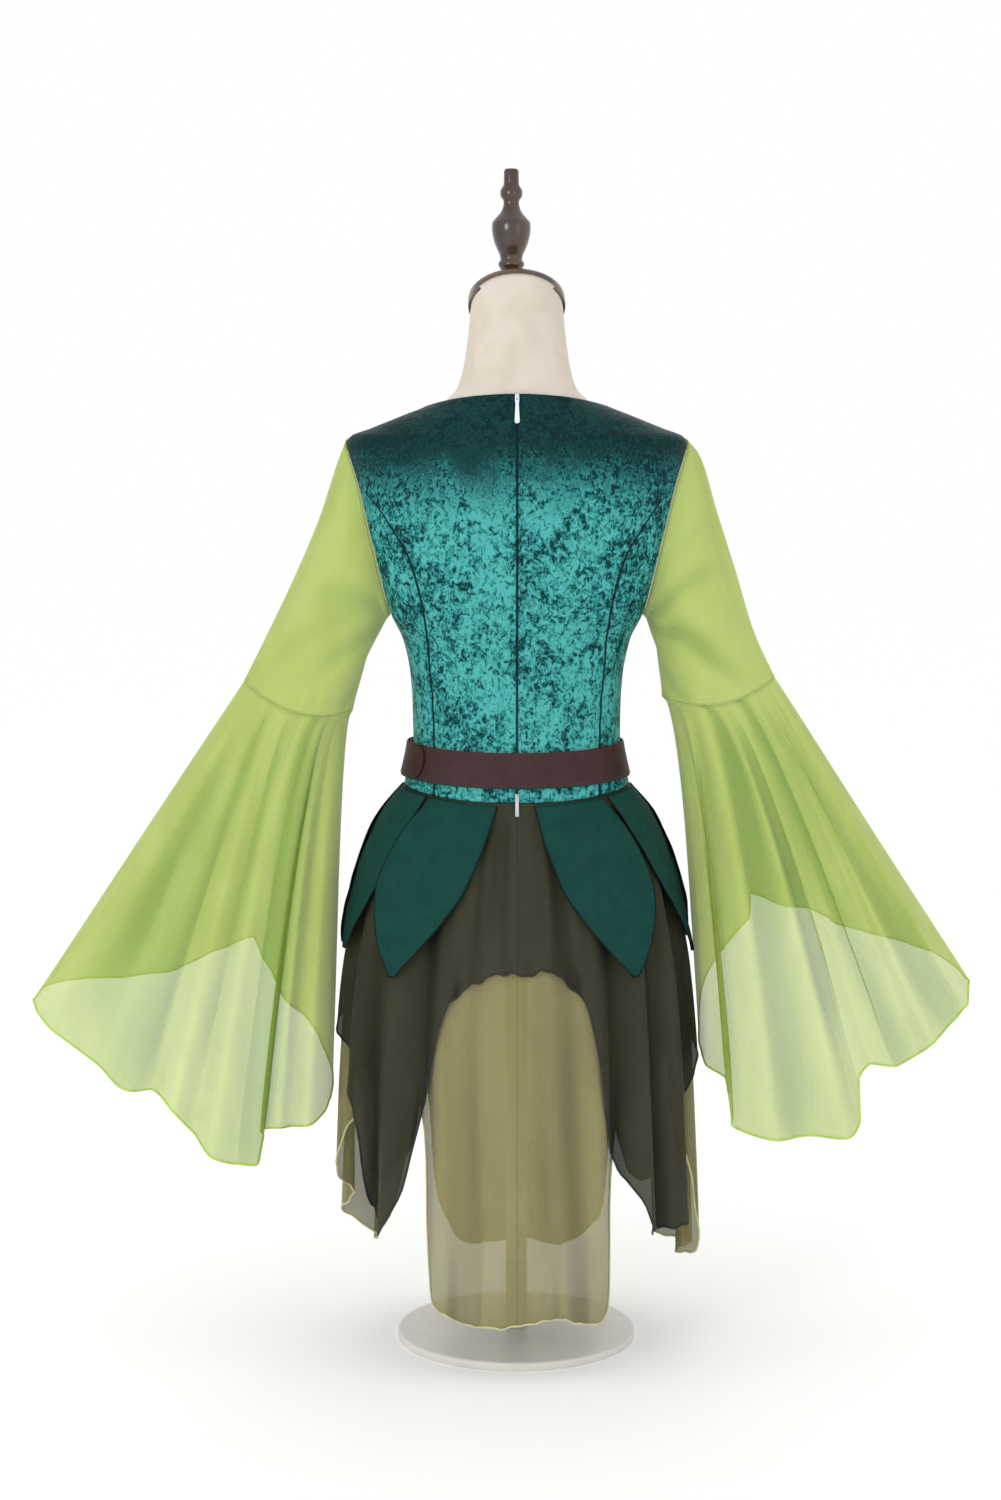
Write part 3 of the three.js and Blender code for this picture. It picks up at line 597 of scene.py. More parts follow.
    def make(self, name: str, spots: Array, faces: Array) -> Object:
        """Makes a smooth object, its faces turned outwards.

        Args:
            name: The object's name.
            spots: Points in millimetres.
            faces: Four point numbers for each face.

        Returns:
            The object.
        """
        corner = spots[faces]
        volume = np.einsum("ij,ij->i", corner[:, 0], np.cross(corner[:, 1], corner[:, 2])).sum()
        volume += np.einsum("ij,ij->i", corner[:, 0], np.cross(corner[:, 2], corner[:, 3])).sum()
        if volume < 0:
            faces = faces[:, ::-1]
        mesh = bpy.data.meshes.new(name)
        mesh.from_pydata((spots * MM).tolist(), [], faces.tolist())
        return self.link(name, mesh)

    @staticmethod
    def link(name: str, mesh: bpy.types.Mesh) -> Object:
        """Shades a mesh smooth and links it as an object.

        Args:
            name: The object's name.
            mesh: Its mesh, in metres.

        Returns:
            The object.
        """
        mesh.polygons.foreach_set("use_smooth", np.ones(len(mesh.polygons), dtype=bool))
        mesh.update()
        made = bpy.data.objects.new(name, mesh)
        bpy.context.scene.collection.objects.link(made)
        return made

    @staticmethod
    def attribute(made: Object, name: str, values: Array) -> None:
        """Stores one value at each point."""
        held = made.data.attributes.new(name, "FLOAT", "POINT")
        held.data.foreach_set("value", values.astype(np.float32))


MAKER = MeshMaker()


@dataclass(frozen=True)
class Finish:
    """A cloth, leather, wood or enamel finish.

    Args:
        name: The material's name.
        slot: The record's slot that it stands for; not used.
        colour: Main colour, linear.
        second: Colour that the noise mixes in, linear.
        mix_scale: Scale of that noise, a metre.
        stretch: Stretch of the noise along X, Y and Z.
        rough: Roughness.
        alpha: Share that hides what is behind one face.
        sheen: Sheen weight.
        weave: Threads of the weave a metre, or 0 for none.
        bump: Height of the bump, in metres.
        edge: Colour at the cloth's edge, linear, or none.
        coat: Clear coat weight.
        gloss: Strength of the plain reflection.
        fold: Painted shade deep in the folds, linear, or none.
    """

    name: str
    slot: str
    colour: Triple
    second: Triple
    mix_scale: float = 30.0
    stretch: Triple = (1.0, 1.0, 1.0)
    rough: float = 0.7
    alpha: float = 1.0
    sheen: float = 0.0
    weave: float = 0.0
    bump: float = 0.0
    edge: Triple | None = None
    coat: float = 0.0
    gloss: float = 0.5
    fold: Triple | None = None


@dataclass(frozen=True)
class Pile:
    """How crushed velvet's pile catches the light. Heights and widths are in metres.

    Args:
        patches: Scale, detail, stretch and warp of the large patches.
        flecks: The same for the streaks of painted highlight.
        fine: The same for the grain.
        shares: Shares of these three.
        yoke: Heights between which the yoke turns bright, out of its painted shade.
        yoke_uneven: How far the patches and streaks shift that.
        yoke_light: Share of the painted highlight that stays on the yoke.
        side_shade: Distances from the middle between which the sides grow darker with painted shade.
        side_shade_dim: How much darker the painted shade makes them.
        middle: Values of the pile between which its painted shade gives way to its main colour.
        lit: Values of the pile between which its painted highlights come.
        seam: Distances from an edge between which its dark line fades.
        yoke_shade_colour: Painted shade on the yoke.
        lit_colour: Colour of the painted highlight in the streaks.
        seam_colour: Colour along the seams.
    """

    patches: tuple = (26.0, 3.0, (1.0, 1.0, 0.8), 0.8)
    flecks: tuple = (165.0, 5.0, (1.0, 1.0, 0.8), 1.0)
    fine: tuple = (460.0, 3.0, (1.0, 1.0, 0.75), 0.6)
    shares: Triple = (0.24, 0.48, 0.28)
    yoke: tuple[float, float] = (1.115, 1.035)
    yoke_uneven: float = 0.10
    yoke_light: float = 0.06
    side_shade: tuple[float, float] = (0.06, 0.15)
    side_shade_dim: float = 0.03
    middle: tuple[float, float] = (0.405, 0.475)
    lit: tuple[float, float] = (0.44, 0.565)
    seam: tuple[float, float] = (0.0024, 0.0004)
    yoke_shade_colour: Triple = (0.001, 0.019, 0.021)
    lit_colour: Triple = (0.07, 0.39, 0.37)
    seam_colour: Triple = (0.001, 0.018, 0.02)


class Paint:
    """Builds one node material for a finish."""

    MOTTLE = (0.35, 0.68)
    # Fold depths, in metres, over which the painted shade of the folds comes in.
    FOLD = (0.0002, 0.0065)
    EDGE = (0.0022, 0.0012)
    PLAIN = (1.0, 1.0, 1.0)

    def __init__(self, finish: Finish) -> None:
        """Starts an empty material.

        Args:
            finish: The finish it shows.
        """
        self.finish = finish
        self.material = bpy.data.materials.new(finish.name)
        self.material.use_nodes = True
        self.tree = self.material.node_tree
        self.surface = self.tree.nodes["Principled BSDF"]
        self.place = self.tree.nodes.new("ShaderNodeTexCoord").outputs["Object"]

    def node(self, kind: str, **values: object) -> bpy.types.Node:
        """Adds a node and sets its properties.

        Args:
            kind: The node's type.
            values: Its properties.

        Returns:
            The node.
        """
        made = self.tree.nodes.new(kind)
        for key, value in values.items():
            setattr(made, key, value)
        return made

    def join(self, source: Socket, target: Socket) -> None:
        """Links two sockets."""
        self.tree.links.new(source, target)

    def noise(self, scale: float, detail: float, stretch: Triple = PLAIN,
              warp: float = 0.0) -> Socket:
        """Adds noise on the object's own coordinates.

        Args:
            scale: Its scale, a metre.
            detail: Its detail.
            stretch: Stretch along X, Y and Z.
            warp: Its distortion.

        Returns:
            The socket with the noise.
        """
        mapping = self.node("ShaderNodeMapping")
        mapping.inputs["Scale"].default_value = stretch
        self.join(self.place, mapping.inputs["Vector"])
        made = self.node("ShaderNodeTexNoise")
        made.inputs["Scale"].default_value = scale
        made.inputs["Detail"].default_value = detail
        made.inputs["Distortion"].default_value = warp
        self.join(mapping.outputs["Vector"], made.inputs["Vector"])
        return made.outputs["Fac"]

    def steps(self, source: Socket, low: float, high: float) -> Socket:
        """Spreads a value out.

        Args:
            source: The value.
            low: The value that becomes 0.
            high: The value that becomes 1.

        Returns:
            The socket with the result.
        """
        made = self.node("ShaderNodeMapRange", interpolation_type="SMOOTHSTEP")
        made.inputs["From Min"].default_value = low
        made.inputs["From Max"].default_value = high
        self.join(source, made.inputs["Value"])
        return made.outputs["Result"]

    def blend(self, share: Socket, first: object, second: object) -> Socket:
        """Mixes two colours.

        Args:
            share: The second one's share.
            first: A colour or a socket.
            second: A colour or a socket.

        Returns:
            The socket with the mixed colour.
        """
        made = self.node("ShaderNodeMix", data_type="RGBA")
        self.join(share, made.inputs["Factor"])
        for socket, value in ((made.inputs["A"], first), (made.inputs["B"], second)):
            if isinstance(value, tuple):
                socket.default_value = (*value, 1.0)
            else:
                self.join(value, socket)
        return made.outputs["Result"]

    def attribute(self, name: str) -> Socket:
        """One of the mesh's own values."""
        return self.node("ShaderNodeAttribute", attribute_name=name).outputs["Fac"]

    def waves(self, per_metre: float, direction: str) -> Socket:
        """Adds fine threads along one direction.

        Args:
            per_metre: Threads a metre.
            direction: The axis that they follow each other along.

        Returns:
            The socket with the waves.
        """
        made = self.node("ShaderNodeTexWave", bands_direction=direction)
        made.inputs["Scale"].default_value = per_metre * math.pi / 10
        made.inputs["Distortion"].default_value = 1.5
        made.inputs["Detail"].default_value = 1.0
        self.join(self.place, made.inputs["Vector"])
        return made.outputs["Fac"]

    def maths(self, how: str, first: object, second: object = 0.0) -> Socket:
        """Adds one sum, product or other operation.

        Args:
            how: The operation.
            first: A number or a socket.
            second: A number or a socket.

        Returns:
            The socket with the result.
        """
        made = self.node("ShaderNodeMath", operation=how)
        for socket, value in zip(made.inputs, (first, second)):
            if isinstance(value, float):
                socket.default_value = value
            else:
                self.join(value, socket)
        return made.outputs["Value"]

    def total(self, *parts: tuple[Socket, float]) -> Socket:
        """Adds up sockets.

        Args:
            parts: Each socket and its share.

        Returns:
            The socket with the sum.
        """
        made = self.maths("MULTIPLY", *parts[0])
        for socket, share in parts[1:]:
            made = self.maths("ADD", made, self.maths("MULTIPLY", socket, share))
        return made

    def bump(self, height: Socket, size: float) -> None:
        """Sets the surface's bump.

        Args:
            height: The socket with the height.
            size: What a height of 1 stands for, in metres.
        """
        made = self.node("ShaderNodeBump")
        made.inputs["Distance"].default_value = size
        made.inputs["Strength"].default_value = 1.0
        self.join(height, made.inputs["Height"])
        self.join(made.outputs["Normal"], self.surface.inputs["Normal"])

    def cloth(self) -> bpy.types.Material:
        """Paints a woven, leather, wood or enamel finish.

        Returns:
            The material.
        """
        finish = self.finish
        mottle = self.noise(finish.mix_scale, 4.0, finish.stretch, 0.6)
        colour = self.blend(self.steps(mottle, *self.MOTTLE), finish.colour, finish.second)
        # Painted shade: the colour darkens where the cloth lies deep in a fold.
        if finish.fold is not None:
            colour = self.blend(self.steps(self.attribute("deep"), *self.FOLD), colour, finish.fold)
        if finish.edge is not None:
            colour = self.blend(self.steps(self.attribute("from_edge"), *self.EDGE), colour, finish.edge)
        self.join(colour, self.surface.inputs["Base Color"])
        if finish.weave:
            threads = self.maths("ADD", self.waves(finish.weave, "Z"), self.waves(finish.weave, "X"))
            height = self.maths("ADD", threads, self.noise(finish.mix_scale * 3, 3.0))
            self.bump(height, finish.bump)
        elif finish.bump:
            self.bump(self.noise(finish.mix_scale * 12, 5.0), finish.bump)
        return self.done()

    def velvet(self, pile: Pile) -> bpy.types.Material:
        """Paints crushed velvet: patches of pile that lie different ways, with bright streaks of painted
        highlight and dark patches of painted shade.

        Args:
            pile: How the pile lies.

        Returns:
            The material.
        """
        noises = [self.noise(*values) for values in (pile.patches, pile.flecks, pile.fine)]
        nap = self.total(*zip(noises, pile.shares))
        split = self.node("ShaderNodeSeparateXYZ")
        self.join(self.place, split.inputs["Vector"])
        shift = self.total((noises[0], pile.yoke_uneven), (noises[1], pile.yoke_uneven))
        # Painted shade: the upward-facing yoke is darkened at the top, and the painted highlights fade there.
        lower = self.steps(self.maths("ADD", split.outputs["Z"], shift), *pile.yoke)
        height = self.maths("ADD", self.maths("MULTIPLY", lower, 1 - pile.yoke_light), pile.yoke_light)
        # Painted shade: the velvet's highlights fade towards the sides.
        side_shade = self.steps(self.maths("ABSOLUTE", split.outputs["X"]), *pile.side_shade)
        shown = self.maths("SUBTRACT", nap, self.maths("MULTIPLY", side_shade, pile.side_shade_dim))
        # Painted highlight: bright streaks where the pile catches the light, over dark patches of painted
        # shade.
        lit = self.maths("MULTIPLY", self.steps(shown, *pile.lit), height)
        middle = self.blend(self.steps(shown, *pile.middle), self.finish.second, self.finish.colour)
        colour = self.blend(lit, self.blend(lower, pile.yoke_shade_colour, middle), pile.lit_colour)
        near = self.steps(self.attribute("from_edge"), *pile.seam)
        self.join(self.blend(near, colour, pile.seam_colour), self.surface.inputs["Base Color"])
        self.bump(nap, self.finish.bump)
        return self.done()

    def done(self) -> bpy.types.Material:
        """Sets the constant values.

        Returns:
            The material.
        """
        finish = self.finish
        for name, value in (("Roughness", finish.rough), ("Alpha", finish.alpha),
                            ("Sheen Weight", finish.sheen), ("Coat Weight", finish.coat),
                            ("Specular IOR Level", finish.gloss)):
            self.surface.inputs[name].default_value = value
        self.material.diffuse_color = (*finish.colour, 1.0)
        return self.material


FINISHES = {
    # The velvet's second colour is the painted shade of its dark patches; its painted highlight is set in
    # Pile.
    "velvet": Finish("crushed velvet", "velvet", (0.008, 0.135, 0.135), (0.001, 0.028, 0.03),
                     rough=0.55, bump=0.002, gloss=0.08),
    "petal": Finish("petal cloth", "petal_cloth", (0.009, 0.064, 0.053), (0.007, 0.056, 0.047), 60.0,
                    rough=0.9, weave=1400.0, bump=0.0002, edge=(0.003, 0.016, 0.014), gloss=0.12),
    # The fold colours of the three chiffons are painted shade deep in their folds.
    "lime": Finish("lime chiffon", "lime_chiffon", (0.53, 0.65, 0.15), (0.46, 0.58, 0.11), 14.0, (1, 1, 0.4),
                   rough=0.65, alpha=0.5, sheen=0.05, weave=1600.0, bump=0.00005, gloss=0.15,
                   fold=(0.25, 0.40, 0.035)),
    "khaki": Finish("khaki chiffon", "khaki_chiffon", (0.31, 0.28, 0.115), (0.27, 0.245, 0.095), 14.0,
                    (1, 1, 0.4), rough=0.7, alpha=0.6, sheen=0.1, weave=1600.0, bump=0.00005, gloss=0.15,
                    fold=(0.15, 0.135, 0.045)),
    "dark": Finish("dark chiffon", "dark_chiffon", (0.048, 0.049, 0.027), (0.040, 0.041, 0.023), 14.0,
                   (1, 1, 0.4), rough=0.65, alpha=0.78, sheen=0.03, gloss=0.12, fold=(0.012, 0.013, 0.007)),
    "lime roll": Finish("lime rolled edge", "lime_chiffon", (0.48, 0.70, 0.06), (0.42, 0.62, 0.05), 80.0,
                        rough=0.6),
    "lime seam": Finish("lime seam", "lime_chiffon", (0.36, 0.48, 0.07), (0.31, 0.43, 0.06), 80.0),
    "khaki roll": Finish("khaki rolled edge", "khaki_chiffon", (0.55, 0.53, 0.27), (0.45, 0.43, 0.2), 80.0,
                         rough=0.6),
    "khaki seam": Finish("khaki seam", "khaki_chiffon", (0.20, 0.18, 0.07), (0.17, 0.155, 0.06), 80.0,
                         alpha=0.8),
    "dark roll": Finish("dark rolled edge", "dark_chiffon", (0.004, 0.004, 0.004), (0.01, 0.01, 0.008), 80.0,
                        rough=0.5),
    "dark seam": Finish("dark seam", "dark_chiffon", (0.012, 0.012, 0.008), (0.01, 0.01, 0.006), 80.0,
                        rough=0.6),
    "leather": Finish("belt leather", "belt_leather", (0.042, 0.016, 0.017), (0.035, 0.013, 0.014), 40.0,
                      rough=0.62, bump=0.0002, gloss=0.25),
    "linen": Finish("linen", "linen", (0.80, 0.71, 0.61), (0.73, 0.64, 0.54), 22.0,
                    rough=0.9, gloss=0.2, weave=900.0, bump=0.0003),
    "wood": Finish("dark polished wood", "dark_wood", (0.022, 0.011, 0.007), (0.065, 0.032, 0.012), 28.0,
                   (1, 1, 0.25), rough=0.28, bump=0.0002, coat=0.5),
    "bronze": Finish("bronzed wood", "dark_wood", (0.11, 0.06, 0.018), (0.035, 0.018, 0.008), 40.0,
                     rough=0.25, bump=0.0002, coat=0.4),
    "enamel": Finish("white enamel", "zip_enamel", (0.70, 0.76, 0.82), (0.64, 0.71, 0.78), 50.0,
                     rough=0.25, coat=0.5),
    "tape": Finish("white tape", "zip_tape", (0.72, 0.75, 0.76), (0.66, 0.69, 0.70), 50.0,
                   weave=1500.0, bump=0.0002),
    "stand": Finish("stand paint", "stand_paint", (0.68, 0.65, 0.60), (0.64, 0.61, 0.56), 20.0, rough=0.35),
    "teal thread": Finish("teal thread", "velvet", (0.004, 0.05, 0.05), (0.003, 0.04, 0.04), rough=0.6),
    # Dark thread of the petal stitches; it also colours the painted shadow line at the waist seam.
    "dark thread": Finish("dark thread", "petal_cloth", (0.003, 0.014, 0.013), (0.004, 0.018, 0.016),
                          rough=0.6),
    "brown thread": Finish("brown thread", "belt_leather", (0.09, 0.045, 0.04), (0.08, 0.04, 0.035),
                           rough=0.6),
}
PAINTS: dict[str, bpy.types.Material] = {}


def paint(key: str) -> bpy.types.Material:
    """Gives the material of a finish, made once.

    Args:
        key: The finish's key.

    Returns:
        The material.
    """
    if key not in PAINTS:
        maker = Paint(FINISHES[key])
        PAINTS[key] = maker.velvet(Pile()) if key == "velvet" else maker.cloth()
    return PAINTS[key]


def dress(made: Object, key: str, body: str = "costume") -> Object:
    """Gives a piece its finish and the body it rides on.

    Args:
        made: The piece.
        key: The finish's key.
        body: The body.

    Returns:
        The piece.
    """
    made.data.materials.clear()
    made.data.materials.append(paint(key))
    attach(made, body)
    return made


def stand_in(made: Object, key: str, node: str, body: str = "costume") -> Object:
    """Dresses a piece and puts it in place of a solid.

    Args:
        made: The piece.
        key: The finish's key.
        node: The solid's node.
        body: The body it rides on.

    Returns:
        The piece.
    """
    dress(made, key, body)
    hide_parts(node)
    return made


def cloth_piece(node: str, sheet: Sheet, thick: float, key: str) -> Object:
    """Makes the thin shell that stands in for a cloth solid."""
    return stand_in(MAKER.shell(node + "_cloth", sheet, thick), key, node)


def line_roll(name: str, sheet: Sheet, place: int | tuple, radius: float, key: str) -> Object:
    """Lays a thin roll along one row or column of a sheet, such as a rolled hem.

    Args:
        name: The roll's name.
        sheet: The sheet.
        place: A row's number, whose roll is a loop, or a range of rows and a column's number.
        radius: The roll's radius.
        key: Its finish's key.

    Returns:
        The roll.
    """
    normal = MAKER.normals(sheet.points, sheet.closed)
    line = (sheet.points[place], normal[place], isinstance(place, int))
    return dress(MAKER.tube(name, [line], radius), key)


@dataclass(frozen=True)
class Thread:
    """A row of stitches: their spacing, length and thickness."""

    spacing: float = 2.6
    long: float = 1.9
    radius: float = 0.22


class StitchMaker:
    """Lays rows of stitches along lines with Geometry Nodes and bakes them to one mesh."""

    SOCKETS = (
        ("Spacing", "NodeSocketFloat", 0.0026), ("Stitch Length", "NodeSocketFloat", 0.0019),
        ("Stitch Radius", "NodeSocketFloat", 0.0002), ("Lean", "NodeSocketFloat", 0.08),
        ("Seed", "NodeSocketInt", 7), ("Thread", "NodeSocketMaterial", None),
    )
    NODES = {
        "start": "NodeGroupInput", "end": "NodeGroupOutput", "places": "GeometryNodeCurveToPoints",
        "stitch": "GeometryNodeMeshCylinder", "lay": "GeometryNodeInstanceOnPoints",
        "lean": "FunctionNodeRandomValue", "turn": "GeometryNodeRotateInstances",
        "real": "GeometryNodeRealizeInstances", "colour": "GeometryNodeSetMaterial",
        "below": "ShaderNodeMath",
    }
    LINKS = (
        ("start", "Geometry", "places", 0), ("start", "Spacing", "places", "Length"),
        ("start", "Stitch Length", "stitch", "Depth"), ("start", "Stitch Radius", "stitch", "Radius"),
        ("places", "Points", "lay", "Points"), ("stitch", "Mesh", "lay", "Instance"),
        ("places", "Rotation", "lay", "Rotation"), ("start", "Lean", "below", 0), ("below", 0, "lean", "Min"),
        ("start", "Lean", "lean", "Max"), ("start", "Seed", "lean", "Seed"),
        ("lay", "Instances", "turn", "Instances"), ("lean", "Value", "turn", "Rotation"),
        ("turn", "Instances", "real", "Geometry"), ("real", "Geometry", "colour", "Geometry"),
        ("start", "Thread", "colour", "Material"), ("colour", "Geometry", "end", "Geometry"),
    )

    def __init__(self) -> None:
        """Makes the node group and its sockets."""
        self.group = bpy.data.node_groups.new("Stitch row", "GeometryNodeTree")
        face = self.group.interface
        face.new_socket("Geometry", in_out="INPUT", socket_type="NodeSocketGeometry")
        self.keys: dict[str, str] = {}
        for name, kind, value in self.SOCKETS:
            socket = face.new_socket(name, in_out="INPUT", socket_type=kind)
            if value is not None:
                socket.default_value = value
            self.keys[name] = socket.identifier
        face.new_socket("Geometry", in_out="OUTPUT", socket_type="NodeSocketGeometry")
        self.build()

    def build(self) -> None:
        """Wires the node group."""
        made = {name: self.group.nodes.new(kind) for name, kind in self.NODES.items()}
        made["places"].mode = "LENGTH"
        made["stitch"].inputs["Vertices"].default_value = 5
        made["lean"].data_type = "FLOAT_VECTOR"
        made["below"].operation = "MULTIPLY"
        made["below"].inputs[1].default_value = -1.0
        for source, out, target, into in self.LINKS:
            self.group.links.new(made[source].outputs[out], made[target].inputs[into])

    def rows(self, name: str, lines: list[Array], key: str, thread: Thread = Thread()) -> Object:
        """Lays stitches along lines.

        Args:
            name: The baked object's name.
            lines: Lines of points in millimetres.
            key: The thread's finish.
            thread: Size and spacing of the stitches.

        Returns:
            The baked object, dressed and riding on the costume.
        """
        curve = bpy.data.curves.new(name + " line", "CURVE")
        curve.dimensions = "3D"
        for line in lines:
            spline = curve.splines.new("POLY")
            spline.points.add(len(line) - 1)
            spots = np.c_[line * MM, np.ones(len(line))].astype(np.float32)
            spline.points.foreach_set("co", spots.reshape(-1))
        holder = bpy.data.objects.new(name + " line", curve)
        bpy.context.scene.collection.objects.link(holder)
        change = holder.modifiers.new("stitches", "NODES")
        change.node_group = self.group
        change[self.keys["Spacing"]] = thread.spacing * MM
        change[self.keys["Stitch Length"]] = thread.long * MM
        change[self.keys["Stitch Radius"]] = thread.radius * MM
        change[self.keys["Thread"]] = paint(key)
        bpy.context.view_layer.update()
        graph = bpy.context.evaluated_depsgraph_get()
        mesh = bpy.data.meshes.new_from_object(holder.evaluated_get(graph), depsgraph=graph)
        bpy.data.objects.remove(holder)
        bpy.data.curves.remove(curve)
        mesh.name = name
        return dress(MAKER.link(name, mesh), key)


@dataclass(frozen=True)
class Bodice:
    """Seven velvet panels on the form."""

    rows: int = 110
    shoulder_rows: int = 30
    shoulder_from: float = 985
    side_bend: float = 826.5
    seam_dip: float = 0.7
    seam_wide: float = 2.2
    swell: float = 0.3
    crease_share: float = 0.8
    hold_from: float = 640
    hold_over: float = 40
    least: float = 0.6
    wall_share: float = 0.75

    CREASES = {
        Face.BACK: (
            Crease((-100, 742), (-30, 718), 7, 1.5), Crease((22, 712), (98, 738), 8, 1.5),
            Crease((-92, 712), (-20, 700), 6, 1.2), Crease((30, 696), (92, 706), 6, 1.3),
            Crease((-108, 800), (-58, 770), 8, 1.2), Crease((60, 774), (112, 806), 8, 1.2),
            Crease((-148, 902), (-96, 872), 10, 1.5), Crease((96, 878), (150, 910), 10, 1.5),
            Crease((-60, 1000), (-20, 930), 14, 1.1), Crease((26, 996), (58, 920), 14, 1.1),
            Crease((-12, 980), (-8, 860), 9, -0.8), Crease((12, 900), (16, 800), 9, -0.8),
        ),
        Face.FRONT: (
            Crease((-100, 735), (-24, 715), 8, 1.5), Crease((28, 708), (100, 730), 8, 1.5),
            Crease((-130, 850), (-80, 815), 10, 1.4), Crease((84, 820), (132, 856), 10, 1.4),
            Crease((-40, 700), (48, 694), 6, 1.1), Crease((-70, 800), (-20, 780), 9, 0.9),
        ),
    }

    def centre_edge(self, level: Array, face: Face) -> Array:
        """Follows a centre panel's outer edge: the princess seam, then the armhole.

        Args:
            level: Heights.
            face: The panel's face.

        Returns:
            The edge's X at each height.
        """
        hole = np.maximum(FORM.armhole_half(level), CLOTH.seam_half_gap)
        turn = FORM.turn_at_y(hole, level, face is Face.FRONT)
        armhole = np.abs(FORM.point(turn, level, 0.0)[..., 0])
        seam = PRINCESS[face].read("x", level) - CLOTH.seam_half_gap
        return np.where(level > AT.princess_top, armhole, seam)

    def levels(self) -> Array:
        """Spaces the rows of a centre panel, closer together over the shoulder.

        Returns:
            Their heights.
        """
        low = np.linspace(AT.seam_back, self.shoulder_from, self.rows - self.shoulder_rows)
        over = np.linspace(self.shoulder_from, AT.neck_point, self.shoulder_rows + 1)[1:]
        return np.concatenate([low, over])

    def finish_grid(self, turn: Array, z: Array, face: Face, from_edge: Array) -> Sheet:
        """Lays a grid on the form, with creases and a dip along its seams.

        Args:
            turn: Turns of the grid.
            z: Its heights.
            face: The face it lies on.
            from_edge: Distance of each point from the nearest edge.

        Returns:
            The panel's sheet.
        """
        base = FORM.point(turn, z, 0.0)
        deep = sum(crease.push(base[..., 0], z) for crease in self.CREASES[face])
        deep = deep + 0.5 * uneven(base[..., 0] / 21 + z / 47, 1.3) * uneven(z / 33 - base[..., 0] / 60, 2.1)
        dip = self.seam_dip * np.exp(-(from_edge / self.seam_wide) ** 2)
        hold = soft((z - self.hold_from) / self.hold_over) * self.crease_share
        moved = CLOTH.ease + CLOTH.velvet / 2 + self.swell - deep * hold - dip
        points = FORM.point(turn, z, np.maximum(moved, CLOTH.ease - self.least))
        return Sheet(points, False, from_edge, deep)

    def edge_distance(self, base: Array) -> Array:
        """Measures along the cloth to the nearest edge.

        Args:
            base: The grid's points.

        Returns:
            The distance of each point.
        """
        across = np.linalg.norm(np.diff(base, axis=1), axis=-1)
        along = np.linalg.norm(np.diff(base, axis=0), axis=-1)
        left = np.concatenate([np.zeros((base.shape[0], 1)), np.cumsum(across, axis=1)], axis=1)
        low = np.concatenate([np.zeros((1, base.shape[1])), np.cumsum(along, axis=0)], axis=0)
        return np.minimum.reduce([left, left[:, -1:] - left, low, low[-1:] - low])

    def centre_grid(self, side: Side, face: Face, start: float) -> tuple[Array, Array]:
        """Lays out half a centre panel.

        Args:
            side: The side it lies on.
            face: Its face.
            start: X of its inner edge.

        Returns:
            Turns and heights of its grid.
        """
        level = self.levels()[:, None]
        near, far = [0, 0.006, 0.015], [0.93, 0.955, 0.975, 0.988, 0.996, 1]
        share = np.concatenate([near, np.linspace(0.035, 0.9, 30), far])[None]
        edge = self.centre_edge(level, face)
        if face is Face.FRONT:
            rise = (level - AT.seam_back) / (AT.neck_point - AT.seam_back)
            middle = AT.seam_back + (AT.neck_front - AT.seam_back) * rise
            z = middle + (level - middle) * share ** 2.4
        else:
            rise = soft((level - AT.shoulder_tip) / (AT.neck_point - AT.shoulder_tip))
            middle = level + (AT.neck_back - AT.neck_point) * rise
            z = middle + (level - middle) * share ** 2
        x = start + (edge - start) * share
        turn = FORM.turn_at_x(x, z, face)
        seam = FORM.turn_at_y(np.full_like(z, CLOTH.seam_half_gap), z, face is Face.FRONT)
        turn = np.where((share == 1) & (level >= AT.shoulder_tip), seam, turn)
        return side.value * turn, over_seam(z, turn)

    def build(self) -> list[Object]:
        """Makes the panels.

        Returns:
            The panels.
        """
        made = []
        for side in Side:
            tag = side.name.lower()
            turn, z = self.centre_grid(side, Face.BACK, CLOTH.seam_half_gap)
            made.append(self.panel(f"bodice_centre_back_{tag}", turn, z, Face.BACK))
            for face in Face:
                turn, z = self.side_grid(side, face)
                made.append(self.panel(f"bodice_side_{face.value}_{tag}", turn, z, face))
        right = self.centre_grid(Side.RIGHT, Face.FRONT, 0.0)
        left = self.centre_grid(Side.LEFT, Face.FRONT, 0.0)
        turn = np.concatenate([left[0][:, :0:-1], right[0]], axis=1)
        z = np.concatenate([left[1][:, :0:-1], right[1]], axis=1)
        made.append(self.panel("bodice_centre_front", turn, z, Face.FRONT))
        return made

    def side_grid(self, side: Side, face: Face) -> tuple[Array, Array]:
        """Lays out a side panel.

        Args:
            side: The side it lies on.
            face: Its face.

        Returns:
            Turns and heights of its grid.
        """
        low = np.linspace(AT.seam_back, self.side_bend, 46)
        high = np.linspace(self.side_bend, AT.princess_top, 50)
        level = np.concatenate([low, high[1:]])[:, None]
        share = np.concatenate([[0, 0.02, 0.05], np.linspace(0.1, 0.9, 18), [0.95, 0.98, 1]])[None]
        near = FORM.turn_at_x(PRINCESS[face].read("x", level) + CLOTH.seam_half_gap, level, face)
        hole = np.maximum(FORM.armhole_half(level), CLOTH.seam_half_gap)
        far = FORM.turn_at_y(hole, level, face is Face.FRONT)
        turn = near + (far - near) * share
        return side.value * turn, over_seam(np.broadcast_to(level, turn.shape), turn)

    def panel(self, name: str, turn: Array, z: Array, face: Face) -> Object:
        """Makes one panel.

        Args:
            name: Its node.
            turn: Turns of its grid.
            z: Its heights.
            face: Its face.

        Returns:
            The panel.
        """
        base = FORM.point(turn, z, CLOTH.ease)
        sheet = self.finish_grid(turn, z, face, self.edge_distance(base))
        made = cloth_piece(name, sheet, CLOTH.velvet * self.wall_share, "velvet")
        return made


